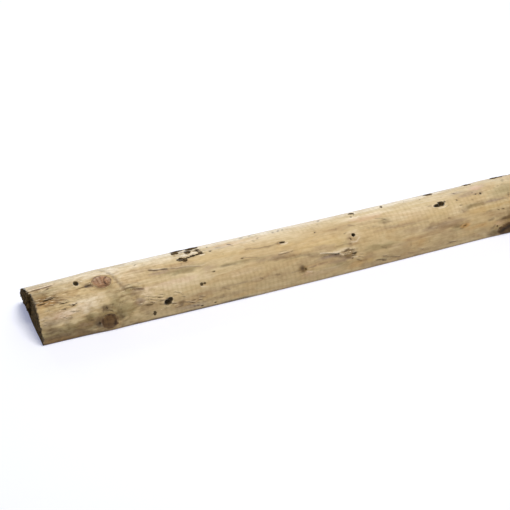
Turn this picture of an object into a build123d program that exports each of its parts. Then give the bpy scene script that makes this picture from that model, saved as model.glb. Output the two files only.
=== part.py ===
"""Half round timber rail: a peeled softwood pole, sawn along its length into two halves.

The rail lies on its sawn face with its round side up. X runs along the grain, the front
edge is on the -Y side, and the origin is under the middle of the rail, on the sawn face.
"""

import os
from math import cos, radians, sin

from build123d import *

# Stock
RAIL_LENGTH = 1800.0  # a sold length of fencing rail
POLE_RADIUS = 50.0  # of the pole before it was sawn in two
SAW_KERF = 4.0  # eaten by the saw along the pith, half of it from each rail
ARRIS_RADIUS = 1.5  # wear on the two long edges

# The peeled pole isn't quite straight or round: how much its radius swells and how far its
# pith sways to the back, at even steps along it. The first and last stations lie one step
# beyond the rail's two ends, in the wood that the crosscuts take off.
POLE_STATIONS = (
    (-1.6, -0.5),
    (-0.5, -0.6),
    (1.6, -0.7),
    (0.5, -0.6),
    (-0.4, 2.5),
    (0.3, 1.8),
    (-0.6, 0.2),
    (0.4, -1.4),
    (-0.4, -0.6),
    (-1.0, 0.6),
    (-1.4, 1.4),
)

# Crosscut at the left end: the saw stopped short, and a tongue of wood broke off behind it
TONGUE_LENGTH = 4.5
TONGUE_START = 2.0  # the tongue lies behind this line across the end
TONGUE_UNDERSIDE = 13.0  # height at which it broke away from the wood below

# Knots that fell out, as round or oval pockets: distance from the left crosscut, angle up from
# the front edge, length along the grain, width across it, and depth
KNOT_POCKETS = (
    (62.0, 91.5, 7.0, 8.5, 9.0),
    (172.0, 26.0, 10.0, 8.0, 8.0),
    (344.0, 76.0, 8.5, 3.2, 3.0),
    (442.5, 60.5, 5.5, 5.5, 7.0),
    (1040.0, 108.0, 9.0, 7.0, 8.0),
    (1395.0, 64.0, 6.0, 6.0, 7.0),
)

# One knot tore out with the fibres behind it and left a tear shaped pocket
TEAR_DISTANCE = 578.5
TEAR_ANGLE = 77.5
TEAR_HEAD_RADIUS = 3.6
TEAR_TAIL_RADIUS = 1.2
TEAR_LENGTH = 17.0
TEAR_DEPTH = 7.0

POCKET_NARROWING = 0.65  # a pocket is this much smaller at its bottom, as the branch was
CUT_CLEARANCE = 4.0  # how far a cutting shape starts outside the wood

left_end = -RAIL_LENGTH / 2
left_cut = left_end + TONGUE_LENGTH  # most of the end; only the tongue reaches further
right_end = RAIL_LENGTH / 2
pith_height = -SAW_KERF / 2
station_step = RAIL_LENGTH / (len(POLE_STATIONS) - 3)


def round_side(distance, angle):
    """A plane outside the round side that looks outwards, with its x along the rail."""
    outward = Vector(0, -cos(radians(angle)), sin(radians(angle)))
    start = Vector(left_cut + distance, 0, pith_height) + outward * (POLE_RADIUS + CUT_CLEARANCE)
    return Plane(origin=start, x_dir=(1, 0, 0), z_dir=outward)


with BuildPart() as half_round_rail:
    # The whole pole, through its stations
    for step, (swell, sway) in enumerate(POLE_STATIONS, start=-1):
        with BuildSketch(Plane.YZ.offset(left_end + step * station_step)):
            with Locations((sway, pith_height)):
                Circle(POLE_RADIUS + swell)
    loft()

    # Two crosscuts, then the saw goes along the pith, and the upper half is the rail
    split(bisect_by=Plane.YZ.offset(left_end), keep=Keep.TOP)
    split(bisect_by=Plane.YZ.offset(right_end), keep=Keep.BOTTOM)
    split(bisect_by=Plane.XY, keep=Keep.TOP)
    long_edges = half_round_rail.edges().filter_by_position(Axis.Z, -0.01, 0.01)
    fillet(long_edges.filter_by(lambda edge: edge.length > RAIL_LENGTH / 2), ARRIS_RADIUS)

    # The crosscut leaves the tongue standing at the back of the left end
    with BuildSketch(Plane.YZ.offset(left_end)):
        with Locations((TONGUE_START, 0)):
            Rectangle(2 * POLE_RADIUS, 2 * POLE_RADIUS, align=(Align.MAX, Align.MIN))
            Rectangle(2 * POLE_RADIUS, TONGUE_UNDERSIDE, align=(Align.MIN, Align.MIN))
    extrude(amount=TONGUE_LENGTH, mode=Mode.SUBTRACT)

    # Pockets of the fallen knots
    for distance, angle, length, width, depth in KNOT_POCKETS:
        mouth = round_side(distance, angle)
        with BuildSketch(mouth):
            Ellipse(length / 2, width / 2)
        with BuildSketch(mouth.offset(-CUT_CLEARANCE - depth)):
            Ellipse(length / 2 * POCKET_NARROWING, width / 2 * POCKET_NARROWING)
        loft(mode=Mode.SUBTRACT)

    with BuildSketch(round_side(TEAR_DISTANCE, TEAR_ANGLE)):
        with Locations((TEAR_LENGTH / 2 - TEAR_HEAD_RADIUS, 0)):
            Circle(TEAR_HEAD_RADIUS)
        with Locations((TEAR_TAIL_RADIUS - TEAR_LENGTH / 2, 0)):
            Circle(TEAR_TAIL_RADIUS)
        make_hull()
    extrude(amount=-(CUT_CLEARANCE + TEAR_DEPTH), mode=Mode.SUBTRACT)

half_round_rail.part.label = "half_round_rail"

os.makedirs("parts", exist_ok=True)
export_step(half_round_rail.part, "parts/half_round_rail.step")
print("size", half_round_rail.part.bounding_box().size)
print("volume", round(half_round_rail.part.volume / 1e6, 3), "litres")
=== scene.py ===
# %% [markdown]
# # Half round timber rail
#
# A fence rail starts as a round pole. A machine peels off the bark with turning knives, a
# crosscut saw squares the ends, and a band saw rips the pole along its pith into two rails.
# This lesson makes one of them in the same order: pole, rip, ends, knots and torn fibres,
# and then the colours of treated softwood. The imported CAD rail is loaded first. It is the
# ruler for everything, because the dressed rail has to fill the same space.

# %% Load the frame
import math
import random

import bmesh
import bpy
import numpy as np
from mathutils import Matrix, Vector, noise
from mathutils.bvhtree import BVHTree


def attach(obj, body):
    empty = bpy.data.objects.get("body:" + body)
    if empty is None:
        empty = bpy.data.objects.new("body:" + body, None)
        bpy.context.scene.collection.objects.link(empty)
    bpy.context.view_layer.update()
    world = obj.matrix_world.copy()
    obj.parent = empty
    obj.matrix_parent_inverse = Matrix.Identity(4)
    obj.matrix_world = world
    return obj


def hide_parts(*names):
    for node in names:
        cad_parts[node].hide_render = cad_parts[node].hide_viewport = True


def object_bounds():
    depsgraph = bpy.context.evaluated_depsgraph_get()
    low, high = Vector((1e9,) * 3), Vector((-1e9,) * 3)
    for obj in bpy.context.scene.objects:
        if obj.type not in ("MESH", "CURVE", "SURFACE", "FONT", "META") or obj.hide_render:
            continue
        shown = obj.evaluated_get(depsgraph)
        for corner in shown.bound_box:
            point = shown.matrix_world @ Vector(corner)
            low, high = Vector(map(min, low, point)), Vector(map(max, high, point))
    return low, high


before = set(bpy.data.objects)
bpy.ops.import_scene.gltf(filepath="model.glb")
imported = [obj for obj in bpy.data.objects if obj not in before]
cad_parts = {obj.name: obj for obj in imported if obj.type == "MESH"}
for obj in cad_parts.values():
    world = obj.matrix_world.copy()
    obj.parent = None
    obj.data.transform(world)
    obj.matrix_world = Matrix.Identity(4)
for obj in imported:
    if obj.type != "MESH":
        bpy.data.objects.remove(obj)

cad_low, cad_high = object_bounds()
mm = 0.001
print("CAD box, m:", tuple(cad_low), tuple(cad_high))

# %% [markdown]
# ## Measure the pole
#
# A peeled pole swells, shrinks and sways a few millimetres along its length. A caliper on
# the CAD rail gives both numbers: a ray from the front and one from the back meet the round
# side just above the sawn face, and the two points give the middle and the radius. The
# numbers could be typed in again here, but measured ones can't disagree with the solid.

# %% Caliper
CALIPER_HEIGHT = 6 * mm
CALIPER_STEPS = 60
PITH_HEIGHT = -2 * mm  # the saw ran just above the pith
POLE_RADIUS = 50 * mm

cad_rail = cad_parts["half_round_rail"]
cad_tree = BVHTree.FromObject(cad_rail, bpy.context.evaluated_depsgraph_get())


def caliper(x):
    """The pole's radius, and how far its pith lies to the back, at x."""
    outside = 2 * POLE_RADIUS
    front = cad_tree.ray_cast(Vector((x, -outside, CALIPER_HEIGHT)), Vector((0, 1, 0)))[0]
    back = cad_tree.ray_cast(Vector((x, outside, CALIPER_HEIGHT)), Vector((0, -1, 0)))[0]
    half_width = (back.y - front.y) / 2
    return math.hypot(half_width, CALIPER_HEIGHT - PITH_HEIGHT), (front.y + back.y) / 2


END_MARGIN = 8 * mm
station_x = np.linspace(cad_low.x + END_MARGIN, cad_high.x - END_MARGIN, CALIPER_STEPS)
station_radius, station_sway = np.array([caliper(x) for x in station_x]).T
print("radius, mm:", (station_radius.min() / mm).round(2), (station_radius.max() / mm).round(2))
print("sway, mm:", (station_sway.min() / mm).round(2), (station_sway.max() / mm).round(2))

# %% [markdown]
# ## The straight pole, ripped in two
#
# The first mesh is a perfect pole with its pith along X. A cylinder without lids is sliced, a
# plane cuts it like the band saw, the open side is bridged, and a bevel wears the two long
# edges. Working on a perfect pole first keeps every feature easy to place by its distance from
# the left end and its angle round from the front edge. The sway and the relief come later,
# when all the faces exist.

# %% Pole
POLE_SIDES = 128
SLICE = 9.2 * mm
FINE_STRETCH = 700 * mm  # the slices are half as long on this stretch, which has more to show
TONGUE_LENGTH = 4.5 * mm

left_cut = cad_low.x + TONGUE_LENGTH
rail_length = cad_high.x - cad_low.x
slices = round((cad_high.x - left_cut) / SLICE)

rail_bm = bmesh.new()
along_x = (
    Matrix.Translation(((left_cut + cad_high.x) / 2, 0, PITH_HEIGHT))
    @ Matrix.Rotation(math.pi / 2, 4, "Y")
    @ Matrix.Rotation(math.pi / POLE_SIDES, 4, "Z")
)
bmesh.ops.create_cone(
    rail_bm, cap_ends=False, segments=POLE_SIDES, radius1=POLE_RADIUS, radius2=POLE_RADIUS,
    depth=cad_high.x - left_cut, matrix=along_x,
)
lengthwise = [edge for edge in rail_bm.edges if edge.calc_length() > rail_length / 2]
bmesh.ops.subdivide_edges(rail_bm, edges=lengthwise, cuts=slices - 1, use_grid_fill=True)
fine = [
    edge
    for edge in rail_bm.edges
    if abs(edge.verts[0].co.x - edge.verts[1].co.x) > SLICE / 2
    and max(vert.co.x for vert in edge.verts) < left_cut + FINE_STRETCH
]
bmesh.ops.subdivide_edges(rail_bm, edges=fine, cuts=1, use_grid_fill=True)
print("pole:", len(rail_bm.faces), "faces,", slices, "slices")

# %% [markdown]
# ## The rip saw
#
# The band saw runs along the pole just above its pith and leaves a flat face. A plane that
# cuts the mesh does the same here, and a ladder of thin faces between the two open edges
# closes it. A boolean with a box would leave one huge face, and the marks of the saw need many
# small ones.

# %% Rip saw and sawn face
FLAT_COLUMNS = 16
FLAT = 1e-6


def everything(bm):
    return bm.verts[:] + bm.edges[:] + bm.faces[:]


def on_sawn_face(edge):
    return all(abs(vert.co.z) < FLAT for vert in edge.verts)


bmesh.ops.bisect_plane(
    rail_bm, geom=everything(rail_bm), plane_co=(0, 0, 0), plane_no=(0, 0, 1), clear_inner=True
)
cut_edges = [edge for edge in rail_bm.edges if edge.is_boundary and on_sawn_face(edge)]
bridged = bmesh.ops.bridge_loops(rail_bm, edges=cut_edges)
rungs = [edge for edge in bridged["edges"] if edge.calc_length() > POLE_RADIUS]
bmesh.ops.subdivide_edges(rail_bm, edges=rungs, cuts=FLAT_COLUMNS - 1, use_grid_fill=True)
print("ripped:", len(rail_bm.faces), "faces,", len(rungs), "rungs")

# %% [markdown]
# ## Worn long edges
#
# The two edges that the rip saw leaves are sharp only on the day they are cut. Handling and
# weather round them by about a millimetre, so a small bevel in three steps takes them off. It
# comes before the fine mesh, while each long edge is still a single row that is easy to pick.

# %% Worn long edges
ARRIS_WEAR = 1.3 * mm
ARRIS_STEPS = 3

half_width = max(vert.co.y for vert in rail_bm.verts if abs(vert.co.z) < FLAT)
arrises = [
    edge
    for edge in rail_bm.edges
    if on_sawn_face(edge) and all(abs(vert.co.y) > half_width - FLAT for vert in edge.verts)
]
bmesh.ops.bevel(
    rail_bm, geom=arrises, offset=ARRIS_WEAR, offset_type="OFFSET", segments=ARRIS_STEPS,
    profile=0.5, affect="EDGES", material=-1,
)
print("worn edges:", len(arrises), "edges bevelled")

# %% [markdown]
# ## The sawn ends
#
# Each end is an open loop, and one big face could close it, but the rough saw marks need many
# points to move. So that face is drawn out in place and shrunk towards the middle, over and
# over, and leaves a ring of small quads behind each time.

# %% Close the ends with shrinking rings
END_RINGS = 22
END_MIDDLE_HEIGHT = 20 * mm


def close_end(bm, x):
    """Fills the open end at x with rings of quads round its middle."""
    middle = Vector((x, 0, END_MIDDLE_HEIGHT))
    loop = [edge for edge in bm.edges if edge.is_boundary and abs(edge.verts[0].co.x - x) < FLAT]
    cap = bmesh.ops.edgeloop_fill(bm, edges=loop)["faces"][0]
    cap.normal_update()
    if cap.normal.x * x < 0:
        cap.normal_flip()
    for ring in range(END_RINGS, 0, -1):
        cap = bmesh.ops.extrude_discrete_faces(bm, faces=[cap])["faces"][0]
        if ring == 1:
            bmesh.ops.pointmerge(bm, verts=cap.verts[:], merge_co=middle)
        else:
            shrink = Matrix.Scale((ring - 1) / ring, 4)
            bmesh.ops.transform(
                bm, verts=cap.verts[:], matrix=shrink, space=Matrix.Translation(-middle)
            )


for end_x in (left_cut, cad_high.x):
    close_end(rail_bm, end_x)
open_edges = sum(edge.is_boundary for edge in rail_bm.edges)
print("ends closed:", len(rail_bm.faces), "faces,", open_edges, "open edges")

# %% [markdown]
# ## The broken tongue
#
# The crosscut at the left end stopped before it was through, and the last of the wood snapped
# off a few millimetres further out. The tongue could be a piece of its own, but it is the same
# wood with the same rings, so the faces of the end behind two scored lines are drawn out. They
# come out in short rows, because walls of single long faces would have no points that the
# roughness could push about later.

# %% Broken tongue at the left end
TONGUE_START = 2 * mm
TONGUE_UNDERSIDE = 13 * mm
TONGUE_ROWS = 5
FACING_OUT = -0.9  # a face of the left end looks this far along -X


def only(items, kind):
    """The points, the edges or the faces among what a bmesh tool made."""
    return [item for item in items if isinstance(item, kind)]


def once_each(items):
    """Drops repeats and keeps the order, which a set wouldn't."""
    return list(dict.fromkeys(items))


def near_left_end(bm, reach=1 * mm):
    found = [face for face in bm.faces if face.calc_center_median().x < left_cut + reach]
    edges = once_each(edge for face in found for edge in face.edges)
    return once_each(vert for face in found for vert in face.verts) + edges + found


bmesh.ops.bisect_plane(
    rail_bm, geom=near_left_end(rail_bm), plane_co=(0, TONGUE_START, 0), plane_no=(0, 1, 0)
)
bmesh.ops.bisect_plane(
    rail_bm, geom=near_left_end(rail_bm), plane_co=(0, 0, TONGUE_UNDERSIDE), plane_no=(0, 0, 1)
)
tongue_faces = [
    face
    for face in rail_bm.faces
    if face.normal.x < FACING_OUT
    and face.calc_center_median().x < left_cut + FLAT
    and face.calc_center_median().y > TONGUE_START
    and face.calc_center_median().z > TONGUE_UNDERSIDE
]
for _ in range(TONGUE_ROWS):
    drawn = bmesh.ops.extrude_face_region(rail_bm, geom=tongue_faces)["geom"]
    bmesh.ops.delete(rail_bm, geom=tongue_faces, context="FACES")
    tongue_faces = only(drawn, bmesh.types.BMFace)
    row = (-TONGUE_LENGTH / TONGUE_ROWS, 0, 0)
    bmesh.ops.translate(rail_bm, verts=only(drawn, bmesh.types.BMVert), vec=row)
loose = [edge.is_manifold for edge in rail_bm.edges].count(False)
print("tongue:", len(tongue_faces), "faces drawn out,", loose, "edges not closed")

# %% [markdown]
# ## What grew in the wood
#
# Branches leave knots, most of them in whorls where one year's shoots grew round the stem.
# Every feature is placed by its distance from the left cut in millimetres and its angle over
# the top in degrees: 0 at the front edge, 90 at the crown, 180 at the back edge. The tables
# read like a maker's notes, and the same ones drive the fine mesh, the relief and the colours.

# %% Knots, pockets and whorls
# Sound knots: distance, angle, length, width, how proud they stand, how red, how dark
KNOTS = (
    (93.5, 80.7, 24.5, 20.5, 0.7, 1.0, 0.1),
    (90.3, 15.8, 22.5, 19, 0.6, 0.25, 0.6),
    (674, 8.8, 44, 19, 0.9, 0.25, 1.0),
    (98, 146, 23, 17, 0.4, 0.6, 0.5),
    (664, 138, 25, 19, 0.5, 0.8, 0.35),
    (884, 38, 8, 6, -0.2, 0.4, 0.6),
    (1186, 62, 28, 21, 0.7, 0.9, 0.3),
    (1192, 141, 24, 18, 0.5, 0.3, 0.8),
    (1420, 118, 9, 7, -0.2, 0.4, 0.6),
    (1641, 97, 26, 20, 0.6, 0.7, 0.4),
    (1649, 28, 23, 17, 0.4, 0.3, 0.8),
)

# Pockets of fallen knots: distance, angle, length, width, depth
POCKETS = (
    (61.7, 90.3, 7.2, 11, 8), (171, 24, 10.5, 8.5, 8), (174.7, 27.6, 8, 7, 5), (344, 76, 8.5, 3.2, 3),
    (442.5, 60.5, 5.5, 5.5, 7), (576, 77, 13.5, 6.5, 7), (581.5, 78.8, 10, 9.5, 7), (1040, 108, 9, 7, 8),
    (1395, 64, 6, 6, 7),
)

# Whorls: distance, length of the swelling, its height
WHORLS = ((92, 42, 1.1), (668, 46, 0.9), (1189, 44, 1.2), (1645, 42, 1.0))

DEGREE = math.pi / 180 * (POLE_RADIUS / mm)  # millimetres over the top for one degree


def oval(distance, angle, patch):
    """How far points lie from an oval's middle: 0 in the middle, 1 on its rim."""
    place_along, place_round, length, width = patch
    along = (distance - place_along) / (length / 2)
    around = (angle - place_round) * DEGREE / (width / 2)
    return np.hypot(along, around)


print(len(KNOTS), "knots,", len(POCKETS), "pockets,", len(WHORLS), "whorls")

# %% [markdown]
# ## Where the knives tore the wood
#
# Peeling knives cut clean with the grain and tear against it, and in a hollow they leave
# scraps of the thin inner bark. Both lie where the shape of the pole puts them. A random
# scatter would miss that, so each one is written down with its place and its size.

# %% Torn fibres and bark
# Torn patches: distance, angle, length, width, strength
TEARS = (
    (24, 72, 54, 20, 0.45), (20, 98, 44, 14, 0.5), (44, 54, 56, 16, 0.55), (42, 38, 24, 8, 0.5),
    (78, 79, 10, 5, 0.4), (131, 57, 36, 12, 0.4), (152, 34, 40, 12, 0.5), (192, 17, 60, 12, 0.35),
    (218, 97, 42, 14, 0.8), (430, 35, 32, 9, 1.0), (775, 84, 50, 12, 0.8), (905, 150, 60, 14, 0.6),
    (1015, 42, 44, 12, 0.7), (1235, 96, 60, 14, 0.6), (1330, 30, 50, 10, 0.8), (1502, 128, 44, 14, 0.9),
    (1560, 70, 36, 9, 0.5), (1778, 62, 34, 40, 0.5),
)

# Scraps of inner bark: distance, angle, length, width
BARK = (
    (202, 109, 7, 9), (217, 104.5, 7, 9), (231.5, 101.5, 5, 9), (208, 118.5, 20, 11), (227, 117, 22, 10),
    (203.5, 87.5, 9, 6.5), (209, 84.5, 7, 5), (215.5, 88, 5, 2.4), (221, 90, 7, 4.5), (228, 90.5, 7, 3.2),
    (233.5, 92, 6, 4.4), (456.5, 110, 4.4, 6), (502, 109, 4.4, 6), (576, 115.5, 15, 8),
    (636, 119.5, 15, 8), (683, 118, 15, 8), (700, 139, 34, 12), (1096, 117, 46, 18), (1474, 44, 30, 9),
    (1716, 132, 40, 16),
)
print(len(TEARS), "tears,", len(BARK), "bark scraps")

# %% [markdown]
# ## Specks and short shakes
#
# Pin knots, short shakes and grit show as small dark specks. On the side that is seen most
# they are placed one by one. The rest of the rail has the same kinds, and there a seeded
# generator deals them out, so that the rail comes out the same each time.

# %% Specks
# Dark specks and short shakes: distance, angle, length, width, darkness
MARKS = (
    (24, 92.5, 4, 2, 0.35), (18.7, 76, 5, 1.2, 0.3), (30.7, 78.5, 3, 2, 0.3), (75.5, 78.8, 6, 3.6, 0.45),
    (80.7, 75, 3, 2.2, 0.3), (77.3, 17, 3, 5, 1), (90, 37, 5, 3.5, 0.3), (95.3, 31.5, 5, 3, 0.4),
    (64, 27, 7, 4.5, 0.2), (52, 12, 6, 5, 0.2), (145.3, 101, 4, 3, 0.7), (151.3, 11.5, 5.6, 8.5, 1),
    (579.5, 82.3, 6.5, 3.6, 1), (586.8, 80.8, 6.5, 3.4, 1), (216, 5.5, 5, 2.5, 0.8),
    (234.7, 6, 5, 2.5, 0.7), (189, 17, 7, 4.5, 0.25), (220.3, 39.5, 6, 5, 1), (224.4, 39.5, 5, 4.4, 0.9),
    (240.5, 54, 6.5, 3.4, 0.6), (247, 92, 4, 3, 0.7), (246.7, 105.6, 3, 5, 0.5), (261.3, 79.6, 3, 2, 0.4),
    (283.3, 64.6, 4, 2.4, 0.5), (302.7, 26, 3, 4, 0.3), (326.7, 26, 4, 3, 0.2), (365, 25, 4.4, 4.2, 0.7),
    (392.7, 81, 3.6, 2.6, 0.65), (413, 36.9, 9, 1.4, 0.8), (431, 65.8, 5, 2, 0.35),
    (436.7, 55, 2.4, 5, 0.55), (437.5, 31.4, 7, 3.6, 0.95), (435, 37, 7, 1.4, 0.7),
    (433.3, 24.5, 3, 2.8, 0.6), (452.5, 98, 4.4, 4, 0.7), (458.7, 102.6, 3, 5, 0.6),
    (492, 74, 10, 1.8, 0.4), (498.5, 68, 9, 1.4, 0.3), (514.7, 53, 2, 5, 0.25), (536, 108.7, 3, 5, 0.4),
    (558, 101.8, 3, 3.6, 0.6), (582.7, 50.5, 4, 2, 0.35), (603.4, 31.7, 6, 2.5, 0.5),
    (605, 79, 2.4, 3.4, 0.6), (607.4, 96, 4, 5, 0.45), (606.3, 66.4, 4, 1.8, 0.4),
    (635.4, 81.3, 4, 3.8, 0.9), (642.3, 80.5, 3.6, 4.6, 0.75), (632, 86.4, 3, 2.4, 0.4),
    (651, 18, 3, 3, 0.7), (665, 44, 4, 1.8, 0.6), (658, 44, 5, 1.6, 0.6),
)

FAR_MARKS = 46
BACK_MARKS = 12
dealer = random.Random(31)


def deal_marks(count, distances, angles):
    """Random specks between two distances and two angles."""
    return tuple(
        (
            dealer.uniform(*distances), dealer.uniform(*angles), dealer.uniform(3, 7),
            dealer.uniform(1.6, 4.5), dealer.uniform(0.4, 1.0),
        )
        for _ in range(count)
    )


MARKS = MARKS + deal_marks(FAR_MARKS, (700, 1785), (6, 172))
MARKS = MARKS + deal_marks(BACK_MARKS, (20, 690), (128, 172))
print(len(MARKS), "marks")

# %% [markdown]
# ## Cracks and torn layers
#
# Drying wood shrinks, and fine cracks open along the grain. Where a knife lifted a layer, a
# thin step is left. Both are lines with a width or a height. A few points each are enough,
# because how far any point lies from a line is easy to work out.

# %% Cracks and layer edges
# Cracks: width, darkness, then their points as distance and angle
CRACKS = (
    (1.8, 1, (8, 70.4), (20, 71.4), (33, 72.2)),
    (1.3, 0.8, (14, 74.6), (28, 73.3)),
    (1.4, 0.9, (1, 65.7), (19, 66.3)),
    (0.8, 0.45, (56, 77.3), (66, 77.8), (73, 77.4)),
    (1.2, 0.8, (27, 60.4), (38, 59.3), (48, 59.6)),
    (1.3, 0.9, (41, 54.2), (50, 53.2), (57, 54.8)),
    (1.1, 0.8, (32, 50.5), (42, 51.6)),
    (0.8, 0.4, (40, 37.4), (46, 36.6)),
    (1.2, 0.3, (119, 58.6), (125, 59.3), (131, 58.2), (142.7, 53.4)),
    (1.1, 0.45, (138, 27.6), (146, 27), (153, 25)),
    (0.8, 0.35, (290, 78), (307, 75.8), (322, 75.6), (340, 76.2)),
    (0.8, 0.3, (577, 9.4), (585, 9.8), (593, 9)),
    (0.7, 0.3, (626, 25.6), (633, 26)),
)

# Edges where a layer of wood tore away below: height of the step, then its points
LAYER_EDGES = (
    (1.5, (-20, 97), (10, 97.5), (24, 99), (38, 102)),
    (0.9, (158, 81.5), (164, 79), (172, 77), (182, 75.5)),
    (0.35, (182, 75.5), (193, 72.7), (204, 72.3), (214, 70.3), (225, 67), (238, 69)),
    (0.35, (331, 57), (346, 56.6), (350, 58), (353, 60)),
    (0.8, (389, 43.6), (395, 42), (403, 39.8), (411, 37.5), (419, 34.4)),
    (0.15, (474, 68), (484, 63), (496, 60), (509, 55), (533, 54.5), (551, 54), (556, 48)),
    (0.12, (605, 56), (612, 60), (622, 65), (640, 67), (655, 64), (672, 60)),
    (0.25, (101, 110), (108, 98), (112, 86), (115, 74), (120, 62)),
    (0.7, (800, 62), (830, 58), (868, 55), (900, 47)),
    (0.8, (1090, 84), (1130, 80), (1162, 81)),
    (0.6, (1350, 100), (1398, 92), (1440, 94)),
    (0.7, (1530, 40), (1568, 45), (1600, 43)),
)
print(len(CRACKS), "cracks,", len(LAYER_EDGES), "layer edges")
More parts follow.
